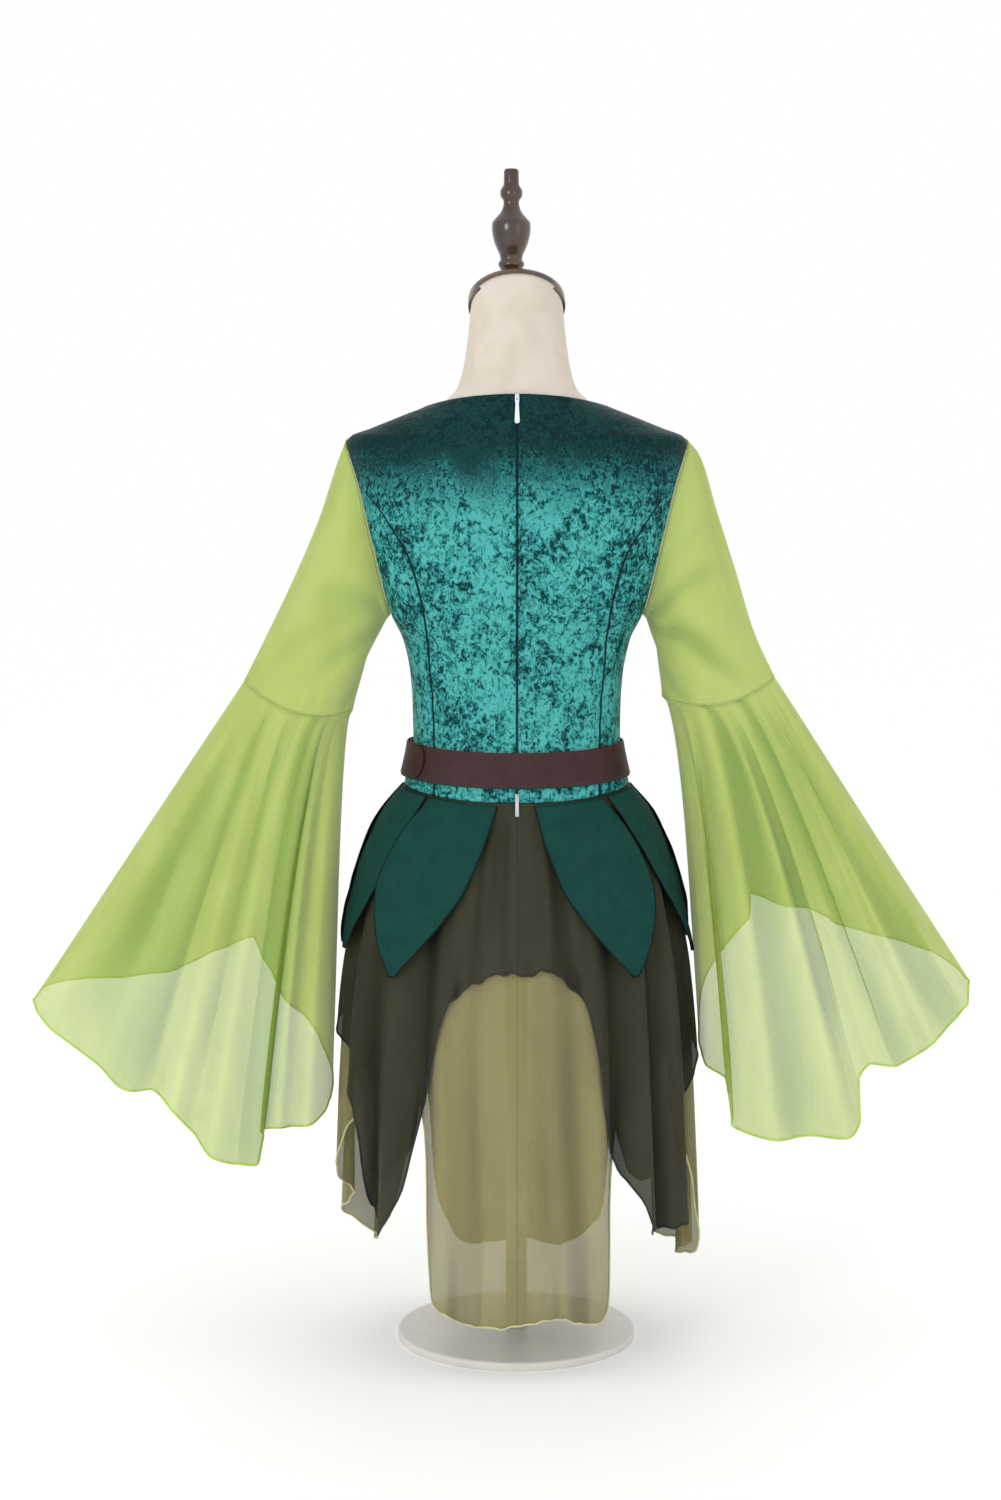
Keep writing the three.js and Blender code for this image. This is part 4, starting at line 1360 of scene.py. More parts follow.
@dataclass(frozen=True)
class Skirt:
    """Two chiffon tiers, hung from the waist seam."""

    square: float = 2.2
    spread: float = 4.6
    spread_below: float = 120.0
    around: int = 420
    down: int = 96
    roll: float = 1.2
    seam: float = 0.45
    jag: float = 5.0
    flutter: float = 3.0
    fullest: float = 1.2
    gathers: float = 2.3
    waves: float = 2.6
    shade: float = 1.5

    def fold(self, turn: Array) -> Array:
        """Reads the folds' depth.

        Args:
            turn: Turn from centre back, in degrees.

        Returns:
            How much of the fold's full depth lies there.
        """
        rows = np.array(RIDGES.rows)
        i = np.clip(np.searchsorted(rows[:, 0], turn, side="left") - 1, 0, len(rows) - 2)
        phase = (turn - rows[i, 0]) / (rows[i + 1, 0] - rows[i, 0])
        return rows[i + 1, 1] * (0.5 - 0.5 * np.cos(2 * np.pi * phase))

    def point(self, turn: Array, below: Array, moved: Array | float, folded: bool) -> Array:
        """Places on the skirt.

        Args:
            turn: Turn from centre back, in degrees.
            below: How far below the waist seam.
            moved: How far out of the flare's surface.
            folded: Whether the main folds are added.

        Returns:
            The points.
        """
        turn, below = np.broadcast_arrays(np.asarray(turn, float), np.asarray(below, float))
        seam = waist_seam(turn)
        across, along = aim(turn)
        half = BODY.read("half", seam) + FLARE.read("side", below)
        deep = FORM.depth(seam, along > 0) + FLARE.read("deep", below)
        x, y = half * power(across, 2 / self.square), deep * power(along, 2 / self.square)
        out = unit(np.stack([across * deep, along * half, np.zeros_like(x)], -1))
        inwards = self.fold(turn) * FLARE.read("valley", below) if folded else 0.0
        spot = np.stack([x, y, seam - CLOTH.gap - below], -1)
        return spot + out * (np.asarray(moved, float) - inwards)[..., None]

    def small_folds(self, turn: Array, below: Array, seed: float) -> Array:
        """Shapes small uneven folds that start at the gathers and widen downwards.

        Args:
            turn: Turn from centre back, in degrees.
            below: How far below the waist seam.
            seed: Shifts the folds.

        Returns:
            How far each place moves out.
        """
        pleats = self.gathers * uneven(turn / 3.1, seed) - 0.6
        near = soft(below / 26) * (1 - soft((below - 90) / 150)) * pleats
        sway = 0.5 * np.sin(below / 160)
        return near + self.waves * soft((below - 60) / 260) * uneven(turn / 5.5 + sway, seed + 1)

    def tier(self, name: str, hem: Table, mid: float, under: bool, key: str) -> list[Object]:
        """Makes one tier with its rolled hem and its back seam.

        Args:
            name: Its node.
            hem: Its hem.
            mid: How far its middle lies from the form at the waist seam.
            under: Whether it is the under tier, which lies closer in and has a smoother hem.
            key: Its finish's key.

        Returns:
            The tier, its hem's roll and its seam.
        """
        seed = 0.7
        turn = np.linspace(-180, 180, self.around, endpoint=False)[None]
        share = np.linspace(0, 1, self.down)[:, None] ** 0.9
        jagged = self.jag * (0.5 if under else 1.0) * uneven(turn / 2.4, seed + 6)
        drop = waist_seam(turn) - CLOTH.gap - hem.read("z", turn) + jagged
        below = drop * share
        inside = self.spread * soft(below / self.spread_below) if under else 0.0
        flutter = soft((share - 0.8) / 0.2) * self.flutter * uneven(turn / 2.6, seed + 4)
        small = np.minimum(self.small_folds(turn, below, seed) + flutter, self.fullest)
        points = self.point(turn, below, mid - inside + small, True)
        from_edge = np.broadcast_to(drop * (1 - share), below.shape)
        valley = self.fold(turn) * FLARE.read("valley", below) * 0.16
        sheet = Sheet(points, True, from_edge, valley - self.shade * small)
        made = cloth_piece(name, sheet, CLOTH.sheer_shell, key)
        roll = line_roll(name + "_rolled_hem", sheet, -1, self.roll, key + " roll")
        back = (slice(2, None), self.around // 2)
        seam = line_roll(name + "_back_seam", sheet, back, self.seam, key + " seam")
        return [made, roll, seam]

    def build(self) -> list[Object]:
        """Makes both tiers."""
        dark = self.tier("skirt_dark_tier", DARK_HEM, CLOTH.dark_mid, False, "dark")
        return dark + self.tier("skirt_khaki_tier", KHAKI_HEM, CLOTH.khaki_mid, True, "khaki")


PETALS = (
    ("petal_back_left", -26.5, -40.5, 189, 1), ("petal_back_right", 25.5, 37.5, 187, 1),
    ("petal_side_left", -67, -77, 178, 0), ("petal_side_right", 67, 83, 184, 0),
    ("petal_front_side_left", -112, -101, 184, 1), ("petal_front_side_right", 112, 104, 178, 1),
    ("petal_front_left", -155, -143, 186, 0), ("petal_front_right", 155, 142, 190, 0),
)
LEAF = Table(("along", "wide"), (
    (0, 0.96), (0.25, 1.05), (0.45, 1.02), (0.65, 0.8), (0.8, 0.52), (0.92, 0.24), (1, 0.05),
))


@dataclass(frozen=True)
class Petals:
    """Eight leaf-shaped petals over the dark tier."""

    skirt: Skirt
    half: float = 19.5
    clear: float = 2.4
    layer: float = 3.2
    settle: float = 30.0
    curl: float = 1.6
    cup: float = 1.4
    wave: float = 0.9
    flare: float = 185.0
    wall_share: float = 0.6
    raised: float = 0.12
    rows: int = 70
    columns: int = 37

    def grid(self, root: float, tip: float, long: float, layer: int, seed: float) -> Sheet:
        """Shapes one petal.

        Args:
            root: Turn of its upper end.
            tip: Turn of its lower end.
            long: Its length.
            layer: How many petals it lies over.
            seed: Shifts its waves.

        Returns:
            The petal's sheet.
        """
        along = (np.linspace(0, 1, self.rows) ** 0.92)[:, None]
        across = np.linspace(-1, 1, self.columns)[None]
        wide = self.half * LEAF.read("wide", along)
        turn = root + (tip - root) * np.sin(along * np.pi / 2) + across * wide
        below = along * long
        settled = np.clip(below / self.settle, 0, 1)
        lift = self.clear * np.minimum(1, 0.25 + settled) + layer * self.layer * settled
        ripple = 1 + 0.6 * uneven(along * 6 + 2 * across, seed)
        curl = self.curl * soft(along * 1.4) * np.abs(across) ** 3 * ripple
        cup = self.cup * np.exp(-(across / 0.35) ** 2) * soft(along * 3)
        wave = self.wave * uneven(along * 9 + across * 3, seed + 2) * soft(along * 4)
        out = CLOTH.petal_mid + lift + curl - cup * 0.4 + np.maximum(wave, -0.6)
        points = self.skirt.point(turn, below, out, False)
        width = wide * math.pi / 180 * self.flare
        edge = np.minimum((1 - np.abs(across)) * width, long * (1 - along) + 0 * across)
        return Sheet(points, False, edge, cup)

    def build(self, stitches: StitchMaker) -> list[Object]:
        """Makes the petals and a row of stitches inside each edge.

        Args:
            stitches: Lays the stitches.

        Returns:
            The petals and their stitches.
        """
        petals, lines = [], []
        for number, (name, root, tip, long, layer) in enumerate(PETALS):
            sheet = self.grid(root, tip, long, layer, 1.7 * number)
            made = cloth_piece(name, sheet, CLOTH.petal * self.wall_share, "petal")
            normal = MAKER.normals(sheet.points, False)
            outside = np.sign(np.sum(normal * sheet.points * FLAT, axis=-1, keepdims=True))
            raised = sheet.points + normal * outside * (CLOTH.petal * self.wall_share / 2 + self.raised)
            lines += [raised[2:-3, column] for column in (1, self.columns - 2)]
            petals.append(made)
        return [*petals, stitches.rows("petal_stitches", lines, "dark thread")]


@dataclass(frozen=True)
class Belt:
    """One strap whose round end laps over its start."""

    half: float = 19.5
    middle: float = 664.0
    drop: float = 6.0
    start: float = -98.0
    end: float = 306.0
    lap_from: float = 222.0
    lap_to: float = 252.0
    loose: float = 1.5
    round_end: float = 8.0
    crown: float = 0.25
    slack: float = 0.5
    stitch_at: float = 0.86
    sunk: float = 0.02
    thread: Thread = Thread(3.4, 2.4, 0.26)

    def height(self, turn: Array) -> Array:
        """Height of the strap's middle at a turn."""
        return self.middle - self.drop * np.cos(np.radians(turn)) ** 2

    def row(self, turn: Array, half: Array, v: Array) -> Array:
        """Places points across the strap.

        Args:
            turn: Turn from centre back, in degrees.
            half: Half the strap's width there.
            v: Place across the strap, from -1 to 1.

        Returns:
            The points.
        """
        lift = (CLOTH.leather + CLOTH.gap) * soft((turn - self.lap_from) / (self.lap_to - self.lap_from))
        slack = np.maximum(self.slack * uneven(turn / 38, 0.4), -0.3)
        rise = CLOTH.bodice_out + self.loose + CLOTH.leather / 2 + self.crown * (1 - v * v)
        return FORM.point(turn, self.height(turn) + v * half, rise + lift + slack)

    def build(self, stitches: StitchMaker) -> list[Object]:
        """Makes the strap, its edges thinned to a round, and its two rows of stitches.

        Args:
            stitches: Lays the stitches.

        Returns:
            The strap and the rows.
        """
        round_from = self.end - self.round_end
        angle = np.radians(np.linspace(0, 86, 22)[1:])
        straight = np.linspace(self.start, round_from, 360)
        turn = np.concatenate([straight, round_from + self.round_end * np.sin(angle)])
        half = np.concatenate([np.full_like(straight, self.half), self.half * np.cos(angle)])
        v = np.concatenate([[-1, -0.97, -0.92], np.linspace(-0.8, 0.8, 9), [0.92, 0.97, 1]])
        points = self.row(turn[:, None], half[:, None], v[None])
        rounded = 1 - 0.55 * (np.abs(v) > 0.95) - 0.2 * ((np.abs(v) > 0.9) & (np.abs(v) < 0.95))
        none = np.zeros(points.shape[:2])
        thick = CLOTH.leather * rounded[None, :, None]
        strap = MAKER.shell("belt_strap", Sheet(points, False, none, none), thick)
        made = [stand_in(strap, "leather", "belt")]
        for name, place in (("belt_top_stitches", self.stitch_at), ("belt_bottom_stitches", -self.stitch_at)):
            middle = self.row(turn[:, None], half[:, None], np.array([[place]]))[:, 0]
            out = unit(middle - FORM.point(turn, self.height(turn) + place * half, 0.0))
            line = (middle + out * (CLOTH.leather / 2 - self.sunk))[turn < round_from + 2]
            made.append(stitches.rows(name, [line], "brown thread", self.thread))
        return made


UPPER = {
    Side.LEFT: Table(("along", "outX", "outZ", "inX", "inZ", "deep"), (
        (0, 187, 1018, 141, 827, 50), (0.12, 197, 996, 149, 812, 55), (0.35, 219, 931, 160, 790, 60),
        (0.6, 246, 868, 170, 763, 60), (0.8, 272, 814, 178, 738, 58), (1, 303, 752, 184, 717, 55),
    )),
    Side.RIGHT: Table(("along", "outX", "outZ", "inX", "inZ", "deep"), (
        (0, 187, 1018, 141, 827, 50), (0.12, 202, 1000, 147, 812, 55), (0.35, 222, 938, 153, 792, 60),
        (0.6, 243, 874, 158, 769, 60), (0.8, 264, 806, 161, 750, 58), (1, 287, 756, 163, 733, 55),
    )),
}
BELL_HEM = {
    Side.LEFT: Table(("turn", "x", "y", "z"), (
        (0, -547, 0, 389), (15, -532, -45, 378), (28, -504, -88, 363), (40, -465, -70, 332),
        (52, -428, -118, 309), (64, -402, -84, 305), (76, -376, -126, 287), (88, -356, -90, 258),
        (100, -334, -130, 237), (112, -308, -100, 225), (122, -287, -122, 227), (130, -282, -86, 258),
        (140, -262, -112, 266), (150, -249, -74, 261), (162, -230, -92, 263), (174, -212, -45, 276),
        (188, -209, 10, 290), (204, -223, 60, 326), (218, -243, 98, 350), (232, -268, 78, 372),
        (246, -290, 112, 408), (260, -306, 76, 446), (275, -343, 112, 428), (290, -375, 84, 416),
        (305, -409, 112, 401), (320, -450, 76, 400), (336, -500, 52, 403), (350, -536, 25, 400),
        (360, -547, 0, 389),
    )),
    Side.RIGHT: Table(("turn", "x", "y", "z"), (
        (0, 511, 0, 411), (12, 504, -44, 396), (22, 495, -84, 394), (32, 482, -62, 374),
        (42, 458, -106, 360), (52, 445, -74, 344), (64, 413, -118, 335), (76, 390, -84, 334),
        (84, 374, -116, 318), (91, 378, -86, 266), (99, 363, -112, 254), (110, 325, -84, 253),
        (122, 286, -120, 253), (134, 249, -88, 259), (143, 236, -112, 272), (151, 235, -78, 297),
        (159, 230, -94, 317), (169, 211, -58, 326), (182, 206, -14, 340), (196, 211, 34, 384),
        (210, 224, 70, 415), (224, 250, 102, 443), (238, 266, 78, 466), (250, 273, 110, 494),
        (264, 308, 80, 483), (278, 345, 112, 475), (292, 372, 80, 461), (308, 408, 106, 450),
        (324, 440, 68, 445), (340, 476, 52, 434), (352, 501, 24, 420), (360, 511, 0, 411),
    )),
}


@dataclass(frozen=True)
class Sleeve:
    """An upper sleeve and its bell. Round them 0 is the outer edge, 90 the back, 180 the inner edge."""

    side: Side
    sag: float = 15.0
    long: float = 260.0
    to_edge: float = 290.0
    bell_long: float = 400.0
    bell_gap: float = 0.9
    lobe: float = 0.62
    lobe_reach: float = 26.0
    crease: float = 1.3
    gathers: float = 1.3
    bell_gathers: float = 1.4
    bell_waves: float = 1.5
    bell_flutter: float = 0.9
    elbow_roll: float = 0.55
    armhole_roll: float = 0.4
    hem_roll: float = 1.1

    BELL_FOLDS = {
        Side.LEFT: (
            Crease((112, 4), (118, 400), 11, 7.0), Crease((126, 30), (135, 410), 13, 6.0),
            Crease((92, 10), (84, 330), 12, 4.5), Crease((66, 20), (52, 390), 15, 5.0),
            Crease((40, 60), (30, 380), 14, 4.0), Crease((232, 10), (240, 390), 15, 6.0),
            Crease((268, 30), (280, 400), 13, 5.0), Crease((310, 20), (318, 360), 15, 5.0),
        ),
        Side.RIGHT: (
            Crease((108, 6), (116, 400), 12, 6.5), Crease((70, 4), (62, 400), 12, 6.5),
            Crease((90, 20), (92, 300), 10, 4.5), Crease((44, 30), (34, 390), 14, 4.5),
            Crease((134, 40), (142, 380), 13, 4.5), Crease((222, 20), (232, 390), 15, 5.5),
            Crease((258, 10), (270, 390), 14, 6.0), Crease((304, 30), (312, 390), 15, 4.5),
        ),
    }
    CREASES = {
        Side.LEFT: (
            Crease((150, 0.02), (60, 0.55), 13, 3.2), Crease((172, 0.10), (95, 0.80), 12, 3.0),
            Crease((120, 0.30), (40, 0.92), 14, 2.6), Crease((200, 0.20), (150, 0.95), 12, 2.2),
            Crease((20, 0.15), (28, 0.8), 12, 1.8), Crease((310, 0.1), (290, 0.85), 16, 2.6),
            Crease((250, 0.05), (262, 0.8), 14, 2.4),
        ),
        Side.RIGHT: (
            Crease((160, 0.01), (52, 0.50), 12, 3.4), Crease((176, 0.08), (86, 0.78), 12, 3.4),
            Crease((130, 0.34), (58, 0.95), 13, 3.0), Crease((196, 0.22), (140, 0.96), 12, 2.4),
            Crease((30, 0.10), (34, 0.75), 12, 1.8), Crease((300, 0.1), (285, 0.9), 16, 2.6),
            Crease((240, 0.05), (256, 0.85), 14, 2.4),
        ),
    }

    @property
    def tag(self) -> str:
        """The side's name in the nodes."""
        return self.side.name.lower()

    def armhole(self, turn: Array) -> Array:
        """Follows the armhole's edge.

        Args:
            turn: Turn round the armhole, in degrees.

        Returns:
            The edge's points.
        """
        z = AT.armhole_middle + AT.armhole_half_high * np.cos(np.radians(turn))
        front = np.sin(np.radians(turn)) < 0
        y = np.maximum(np.abs(AT.armhole_half_deep * np.sin(np.radians(turn))), CLOTH.seam_half_gap)
        return FORM.point(self.side.value * FORM.turn_at_y(y, z, front), z, CLOTH.sleeve_mid)

    def section(self, turn: Array, along: Array) -> Array:
        """Places a section between the armhole and the elbow.

        Args:
            turn: Turn round the section, in degrees.
            along: How far along the sleeve, from 0 to 1.

        Returns:
            The section's points.
        """
        turn, along = np.broadcast_arrays(turn, along)
        table = UPPER[self.side]
        at = {name: table.read(name, along) for name in table.names[1:]}
        out, back = np.cos(np.radians(turn)), np.sin(np.radians(turn))
        x = (at["outX"] + at["inX"]) / 2 + (at["outX"] - at["inX"]) / 2 * out
        z = (at["outZ"] + at["inZ"]) / 2 + (at["outZ"] - at["inZ"]) / 2 * out
        y = -at["deep"] * back
        return np.stack([self.side.value * x, y, z - self.sag * along * back * back], -1)

    def upper_point(self, turn: Array, along: Array) -> Array:
        """Points of the plain upper sleeve."""
        start = self.armhole(turn) - self.section(turn, np.zeros_like(turn))
        return self.section(turn, along) + start * ((1 - along) ** 3)[..., None]

    def upper(self) -> list[Object]:
        """Makes the upper sleeve.

        Returns:
            The sleeve and its two seams.
        """
        turn = np.linspace(0, 360, 150, endpoint=False)[None]
        along = np.linspace(0, 1, 74)[:, None]
        points = self.upper_point(turn, along)
        normal = MAKER.normals(points, True)
        deep = sum(crease.push(turn, along * self.long) for crease in self.scaled())
        gathers = self.gathers * soft((along - 0.86) / 0.14) * uneven(turn / 3.4, 2.0)
        hold = soft(along / 0.06)
        centre = points.mean(axis=1, keepdims=True)
        way = np.sign(np.sum(normal * (points - centre), axis=-1, keepdims=True))
        points = points - normal * way * (deep * hold * self.crease + gathers * 0.6)[..., None]
        edge = np.minimum(along, 1 - along) * self.to_edge + 0 * turn
        sheet = Sheet(points, True, edge, deep * 0.8)
        made = cloth_piece(f"upper_sleeve_{self.tag}", sheet, CLOTH.sheer_shell, "lime")
        elbow = line_roll(f"elbow_seam_{self.tag}", sheet, -1, self.elbow_roll, "lime seam")
        cap = line_roll(f"armhole_seam_{self.tag}", sheet, 1, self.armhole_roll, "lime seam")
        return [made, elbow, cap]

    def scaled(self) -> list[Crease]:
        """The creases with their places along the sleeve in millimetres."""
        return [replace(crease, start=(crease.start[0], crease.start[1] * self.long),
                        end=(crease.end[0], crease.end[1] * self.long)) for crease in self.CREASES[self.side]]

    def bell_grid(self, turn: Array, along: Array) -> Array:
        """Places the plain bell, from the upper sleeve's end to the hem.

        Args:
            turn: Turn round the bell, in degrees.
            along: How far down the bell, from 0 to 1.

        Returns:
            The bell's points.
        """
        top = self.upper_point(turn, np.ones_like(turn))
        inner = (1 - np.cos(np.radians(turn))) / 2
        hem = BELL_HEM[self.side]
        x = top[..., 0] + (hem.read("x", turn) - top[..., 0]) * along ** (1 - 0.5 * inner)
        reach = np.linspace(-self.lobe_reach, self.lobe_reach, 27)
        broad = np.mean([hem.read("y", (turn + step) % 360) for step in reach], axis=0)
        depth = broad + (hem.read("y", turn) - broad) * self.lobe
        y = top[..., 1] + (depth - top[..., 1]) * along ** 0.8
        start = top[..., 2] - self.bell_gap
        return np.stack(np.broadcast_arrays(x, y, start + (hem.read("z", turn) - start) * along), -1)

    def bell(self) -> list[Object]:
        """Makes the bell.

        Returns:
            The bell and its rolled hem.
        """
        turn = np.linspace(0, 360, 260, endpoint=False)[None]
        along = (np.linspace(0, 1, 88) ** 0.95)[:, None]
        points = self.bell_grid(turn, along)
        seed = 1.0 + self.side.value
        full = self.bell_gathers * np.clip(0.4 + 0.8 * uneven(turn / 31, seed + 5), 0, 1)
        sway = 0.5 * np.sin(along * 4)
        small = full * soft(along / 0.05) * (1 - soft((along - 0.08) / 0.3)) * uneven(turn / 3.6, seed)
        small = small + self.bell_waves * soft((along - 0.1) / 0.6) * uneven(turn / 11 + sway, seed + 1)
        small = small + self.bell_flutter * soft((along - 0.8) / 0.2) * uneven(turn / 4.8, seed + 3)
        folds = self.BELL_FOLDS[self.side]
        small = small - sum(fold.push(turn, along * self.bell_long, 1.6) for fold in folds)
        points = points + MAKER.normals(points, True) * small[..., None]
        drop = np.linalg.norm(points[-1] - points[0], axis=-1)[None]
        sheet = Sheet(points, True, drop * (1 - along), -small)
        name = f"bell_sleeve_{self.tag}"
        made = cloth_piece(name, sheet, CLOTH.sheer_shell, "lime")
        roll = line_roll(name + "_rolled_hem", sheet, -1, self.hem_roll, "lime roll")
        return [made, roll]

    def build(self) -> list[Object]:
        """Makes the upper sleeve and the bell."""
        return self.upper() + self.bell()


@dataclass(frozen=True)
class Mannequin:
    """The form's body, neck cap, finial, pole and base."""

    cap_tilt: float = 33.0
    cap_lift: float = 1.2
    cap_high: float = 23.0
    finial_x: float = -6.0
    finial_top: float = 1314.0
    foot: float = 12.0
    CAP = (
        (0, 0.6), (51.9, 0.6), (52.1, -4.4), (52.7, -5), (53.4, -4.2), (53.9, -1), (54, 5), (53.6, 8.4),
        (52, 11), (49, 12.2), (44, 14.2), (37, 17), (30, 19.6), (24, 22), (20, 23), (0, 23),
    )
    POLE = ((0, 10.3), (12, 10.3), (12, 519.7), (0, 519.7))
    BASE = ((0, 0), (134, 0), (135, 1), (135, 7.4), (134.4, 8.8), (133, 9.7), (131, 10), (0, 10))
    FINIAL = (
        (0, 16.5), (3, 15.6), (8, 13.4), (14, 12.2), (19, 12.4), (21, 14.2), (24, 14.6), (26, 13.8),
        (27, 12.6),         (30, 12.2), (34, 13.2), (40, 16.2), (47, 19.0), (55, 21.0), (62, 21.8),
        (67, 21.6), (70, 20.9), (71, 20.0),         (74, 17.6), (78, 13.6), (82, 10.8), (86, 9.2),
        (90, 8.6), (93, 9.0), (96, 11.6), (99, 12.4), (103, 12.4),         (106, 11.2), (108, 9.6),
        (110, 8.8), (113, 8.5), (124, 8.3), (126, 7.8), (127, 6.6),
    )

    def build(self) -> list[Object]:
        """Makes the five pieces.

        Returns:
            The pieces.
        """
        body = self.body()
        cap = MAKER.turned("neck_cap_wood", self.CAP, 96)
        turn = Matrix.Rotation(math.radians(-self.cap_tilt), 4, "X")
        cap.data.transform(Matrix.Translation(Vector((0, 0, (AT.neck_top + self.cap_lift) * MM))) @ turn)
        made = [body, stand_in(cap, "bronze", "neck_cap"), self.finial()]
        pole = MAKER.turned("stand_pole_steel", self.POLE, 48)
        base = MAKER.turned("stand_base_steel", self.BASE, 128)
        for piece, node in ((pole, "stand_pole"), (base, "stand_base")):
            flat_caps(piece)
            made.append(stand_in(piece, "stand", node))
        return made

    def finial(self) -> Object:
        """Makes the finial, its foot cut to the cap's slope.

        Returns:
            The finial.
        """
        high = self.FINIAL[-1][0]
        made = MAKER.turned("finial_wood", [(0, 0), *[(r, up) for up, r in self.FINIAL], (0, high)])
        tilt = math.radians(self.cap_tilt)
        top_y = self.cap_high * math.sin(tilt)
        top_z = AT.neck_top + self.cap_lift + self.cap_high * math.cos(tilt)
        low = self.finial_top - high
        for vertex in made.data.vertices:
            spot = vertex.co / MM + Vector((self.finial_x, top_y, low))
            floor = top_z + CLOTH.gap - math.tan(tilt) * (spot.y - top_y)
            spot.z += (floor - low) * max(0.0, 1 - (spot.z - low) / self.foot)
            vertex.co = spot * MM
        return stand_in(made, "wood", "finial")

    def body(self) -> Object:
        """Makes the padded body and neck.

        Returns:
            The body.
        """
        low, over = np.linspace(524, 1000, 60), np.linspace(1004, AT.neck_top, 50)
        heights = np.concatenate([[AT.form_bottom, AT.form_bottom + 0.5], low, over])[:, None]
        turn = np.linspace(0, 360, 144, endpoint=False)[None]
        sink = FORM.sink * (1 - soft((heights - AT.neck_point) / (AT.neck_back - AT.neck_point)))
        points = FORM.point(turn, heights, -sink)
        points[..., 2] -= BODY.read("tilt", heights) * points[..., 1]
        made = MAKER.rings("form_body_linen", points, AT.form_bottom, AT.neck_top)
        return stand_in(made, "linen", "form_body")


def flat_caps(made: Object) -> None:
    """Shades a turned piece's flat ends flat.

    Args:
        made: The piece.
    """
    for face in made.data.polygons:
        if abs(face.normal.z) > 0.99:
            face.use_smooth = False


@dataclass(frozen=True)
class Zip:
    """The slider, pull tab and tape end, from their own solids; the slider and pull tab with rounded edges.
    """

    weld: float = 0.00002
    rounding: float = 0.00022
    sharp: float = 40.0
    PIECES = (("zip_slider", "enamel", "costume"), ("zip_pull", "enamel", "zip_pull"),
              ("zip_tape_end", "tape", "costume"))

    def build(self, frame: dict) -> list[Object]:
        """Welds a copy of each solid and rounds the edges of the slider and the pull tab.

        Args:
            frame: The loaded frame.

        Returns:
            The pieces.
        """
        pieces = []
        for node, key, body in self.PIECES:
            source = frame["nodes"][node]
            mesh = source.data.copy()
            made = bpy.data.objects.new(node + "_fine", mesh)
            mesh.transform(source.matrix_world)
            bpy.context.scene.collection.objects.link(made)
            made.modifiers.new("weld", "WELD").merge_threshold = self.weld
            if node != "zip_tape_end":
                rounding = made.modifiers.new("rounding", "BEVEL")
                rounding.width = self.rounding
                rounding.segments = 2
                rounding.limit_method = "ANGLE"
                rounding.angle_limit = math.radians(self.sharp)
            graph = bpy.context.evaluated_depsgraph_get()
            baked = bpy.data.meshes.new_from_object(made.evaluated_get(graph), depsgraph=graph)
            bpy.data.objects.remove(made)
            pieces.append(stand_in(MAKER.link(node + "_fine", baked), key, node, body))
        return pieces


@dataclass(frozen=True)
class View:
    """The camera, at the photograph's angle."""

    aim: Triple = (-0.018, 0.0, 0.672)
    far: float = 3.2
    elevation: float = 6.0
    lens: float = 68.57

    def build(self) -> None:
        """Adds the camera."""
        data = bpy.data.cameras.new("Camera")
        data.lens = self.lens
        data.sensor_width = 36.0
        data.clip_end = 50.0
        made = bpy.data.objects.new("Camera", data)
        tilt = math.radians(self.elevation)
        made.location = Vector(self.aim) + Vector((0, -math.cos(tilt), math.sin(tilt))) * self.far
        made.rotation_euler = (math.radians(90) - tilt, 0, 0)
        bpy.context.scene.collection.objects.link(made)
        bpy.context.scene.camera = made


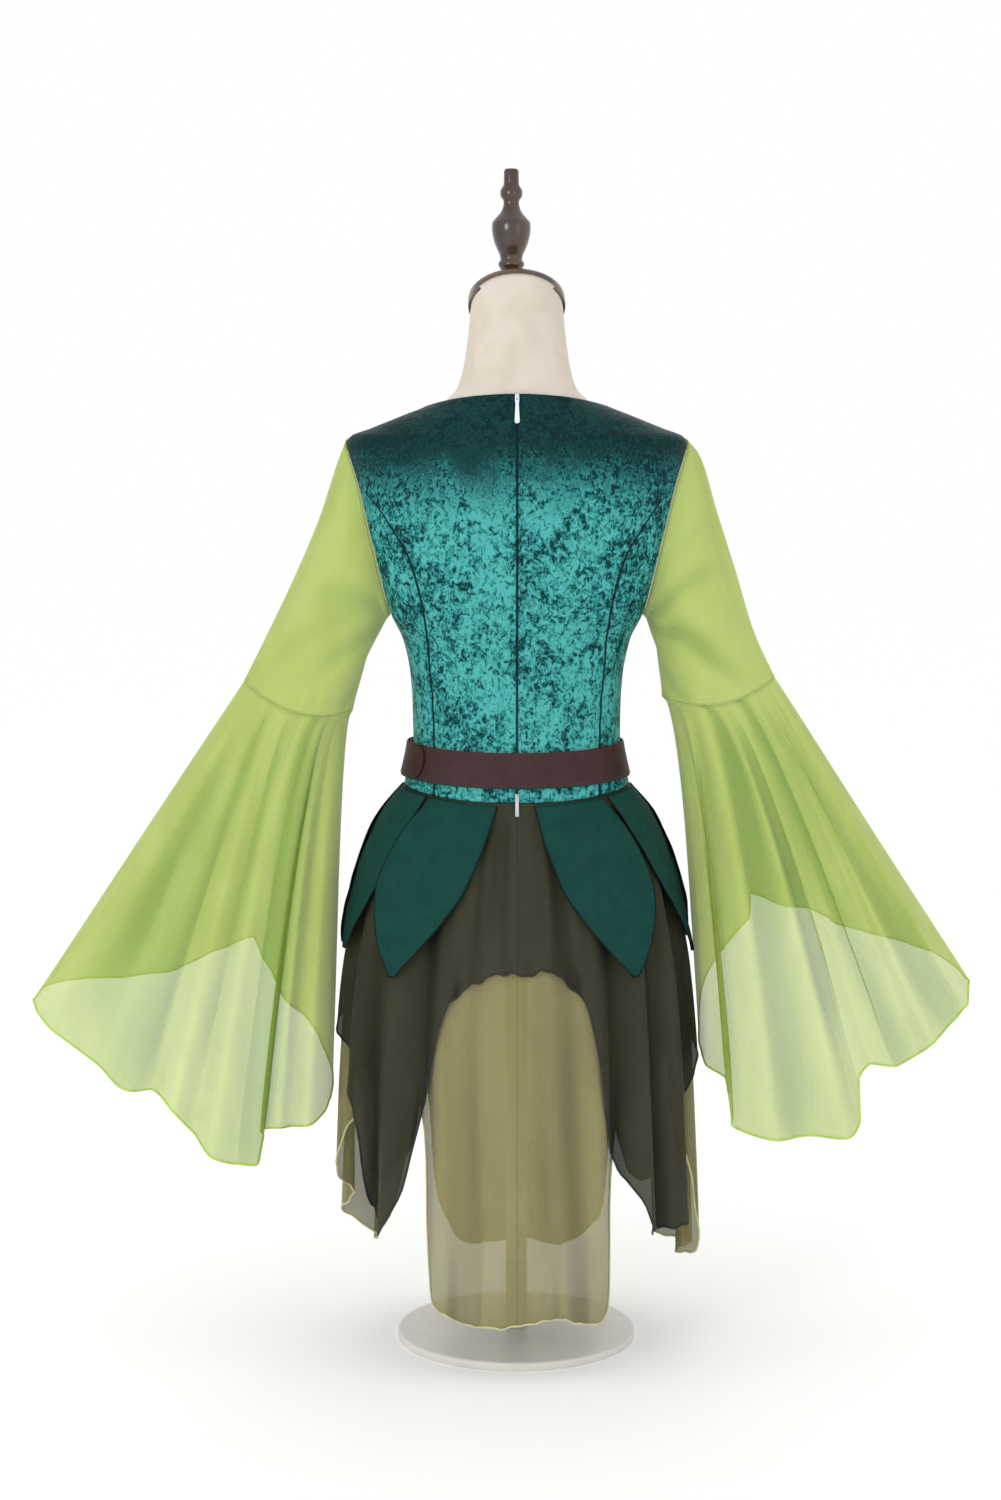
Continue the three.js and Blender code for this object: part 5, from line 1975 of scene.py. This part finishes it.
@dataclass(frozen=True)
class Studio:
    """A pale floor, the even light of a pale room, and soft lamps."""

    aim_high: float = 0.75
    floor_far: float = 14.0
    LAMPS = (
        ("key", (-1.7, -3.0, 1.5), 1.1, 26.0), ("fill", (2.3, -2.8, 1.1), 1.8, 6.0),
        ("back", (0.3, 2.4, 1.9), 2.0, 10.0),
    )

    def build(self) -> None:
        """Adds the floor, the lamps and the even light of the room."""
        self.floor()
        for name, place, size, strength in self.LAMPS:
            data = bpy.data.lights.new(name, "AREA")
            data.shape = "DISK"
            data.size = size
            data.energy = strength
            made = bpy.data.objects.new(name, data)
            made.location = place
            way = Vector((0, 0, self.aim_high)) - Vector(place)
            made.rotation_euler = way.to_track_quat("-Z", "Y").to_euler()
            bpy.context.scene.collection.objects.link(made)
        world = bpy.data.worlds.new("room")
        world.use_nodes = True
        back = world.node_tree.nodes["Background"]
        back.inputs["Color"].default_value = (1.0, 1.0, 1.0, 1.0)
        back.inputs["Strength"].default_value = 1.0
        bpy.context.scene.world = world
        bpy.context.scene.view_settings.view_transform = "Standard"

    def floor(self) -> None:
        """A wide, flat, pale floor."""
        far = self.floor_far
        spots = [(-far, -far, 0.0), (far, -far, 0.0), (far, far, 0.0), (-far, far, 0.0)]
        mesh = bpy.data.meshes.new("floor")
        mesh.from_pydata(spots, [], [(0, 1, 2, 3)])
        made = MAKER.link("floor", mesh)
        material = bpy.data.materials.new("pale card")
        material.use_nodes = True
        surface = material.node_tree.nodes["Principled BSDF"]
        for name, value in (("Base Color", (0.9, 0.9, 0.895, 1.0)), ("Roughness", 1.0),
                            ("Specular IOR Level", 0.0), ("Emission Color", (1.0, 1.0, 1.0, 1.0)),
                            ("Emission Strength", 0.1)):
            surface.inputs[name].default_value = value
        mesh.materials.append(material)


def waist_shadow_line(radius: float = 0.55) -> Object:
    """Lays a dark line along the waist seam: painted shadow where the petals meet the velvet.

    Args:
        radius: The line's radius.

    Returns:
        The line.
    """
    turn = np.linspace(-180, 180, 240, endpoint=False)
    line = FORM.point(turn, waist_seam(turn) - CLOTH.gap / 2, CLOTH.dark_mid)
    # Painted shadow: a dark roll where the skirt's layers meet the velvet at the waist.
    return dress(MAKER.tube("waist_seam", [(line, unit(line * FLAT), True)], radius), "dark thread")


def neckline_rows(stitches: StitchMaker, drop: float = 10.5, raised: float = 0.15) -> Object:
    """Lays the row of stitches that holds the facing, below the neckline.

    Args:
        stitches: Lays the stitches.
        drop: How far below the neckline they run.
        raised: How far they lie out of the velvet.

    Returns:
        The row.
    """
    lines = []
    for side in Side:
        turn = side.value * np.linspace(3, 88, 60)
        top = AT.neck_point + (AT.neck_back - AT.neck_point) * np.cos(np.radians(turn)) ** 2
        lines.append(FORM.point(turn, top - drop, CLOTH.bodice_out + raised))
    return stitches.rows("neckline_stitches", lines, "teal thread", Thread(2.8, 2.0, 0.24))


def main() -> None:
    """Builds the scene and reports each piece."""
    logging.basicConfig(level=logging.INFO, format="%(message)s")
    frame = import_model()
    stitches = StitchMaker()
    skirt = Skirt()
    made = Mannequin().build() + Bodice().build() + skirt.build() + Petals(skirt).build(stitches)
    made += Belt().build(stitches) + Sleeve(Side.LEFT).build() + Sleeve(Side.RIGHT).build()
    made += [*Zip().build(frame), neckline_rows(stitches), waist_shadow_line()]
    for piece in made:
        LOG.info("made %s, %d faces", piece.name, len(piece.data.polygons))
    View().build()
    Studio().build()


if __name__ == "__main__":
    main()
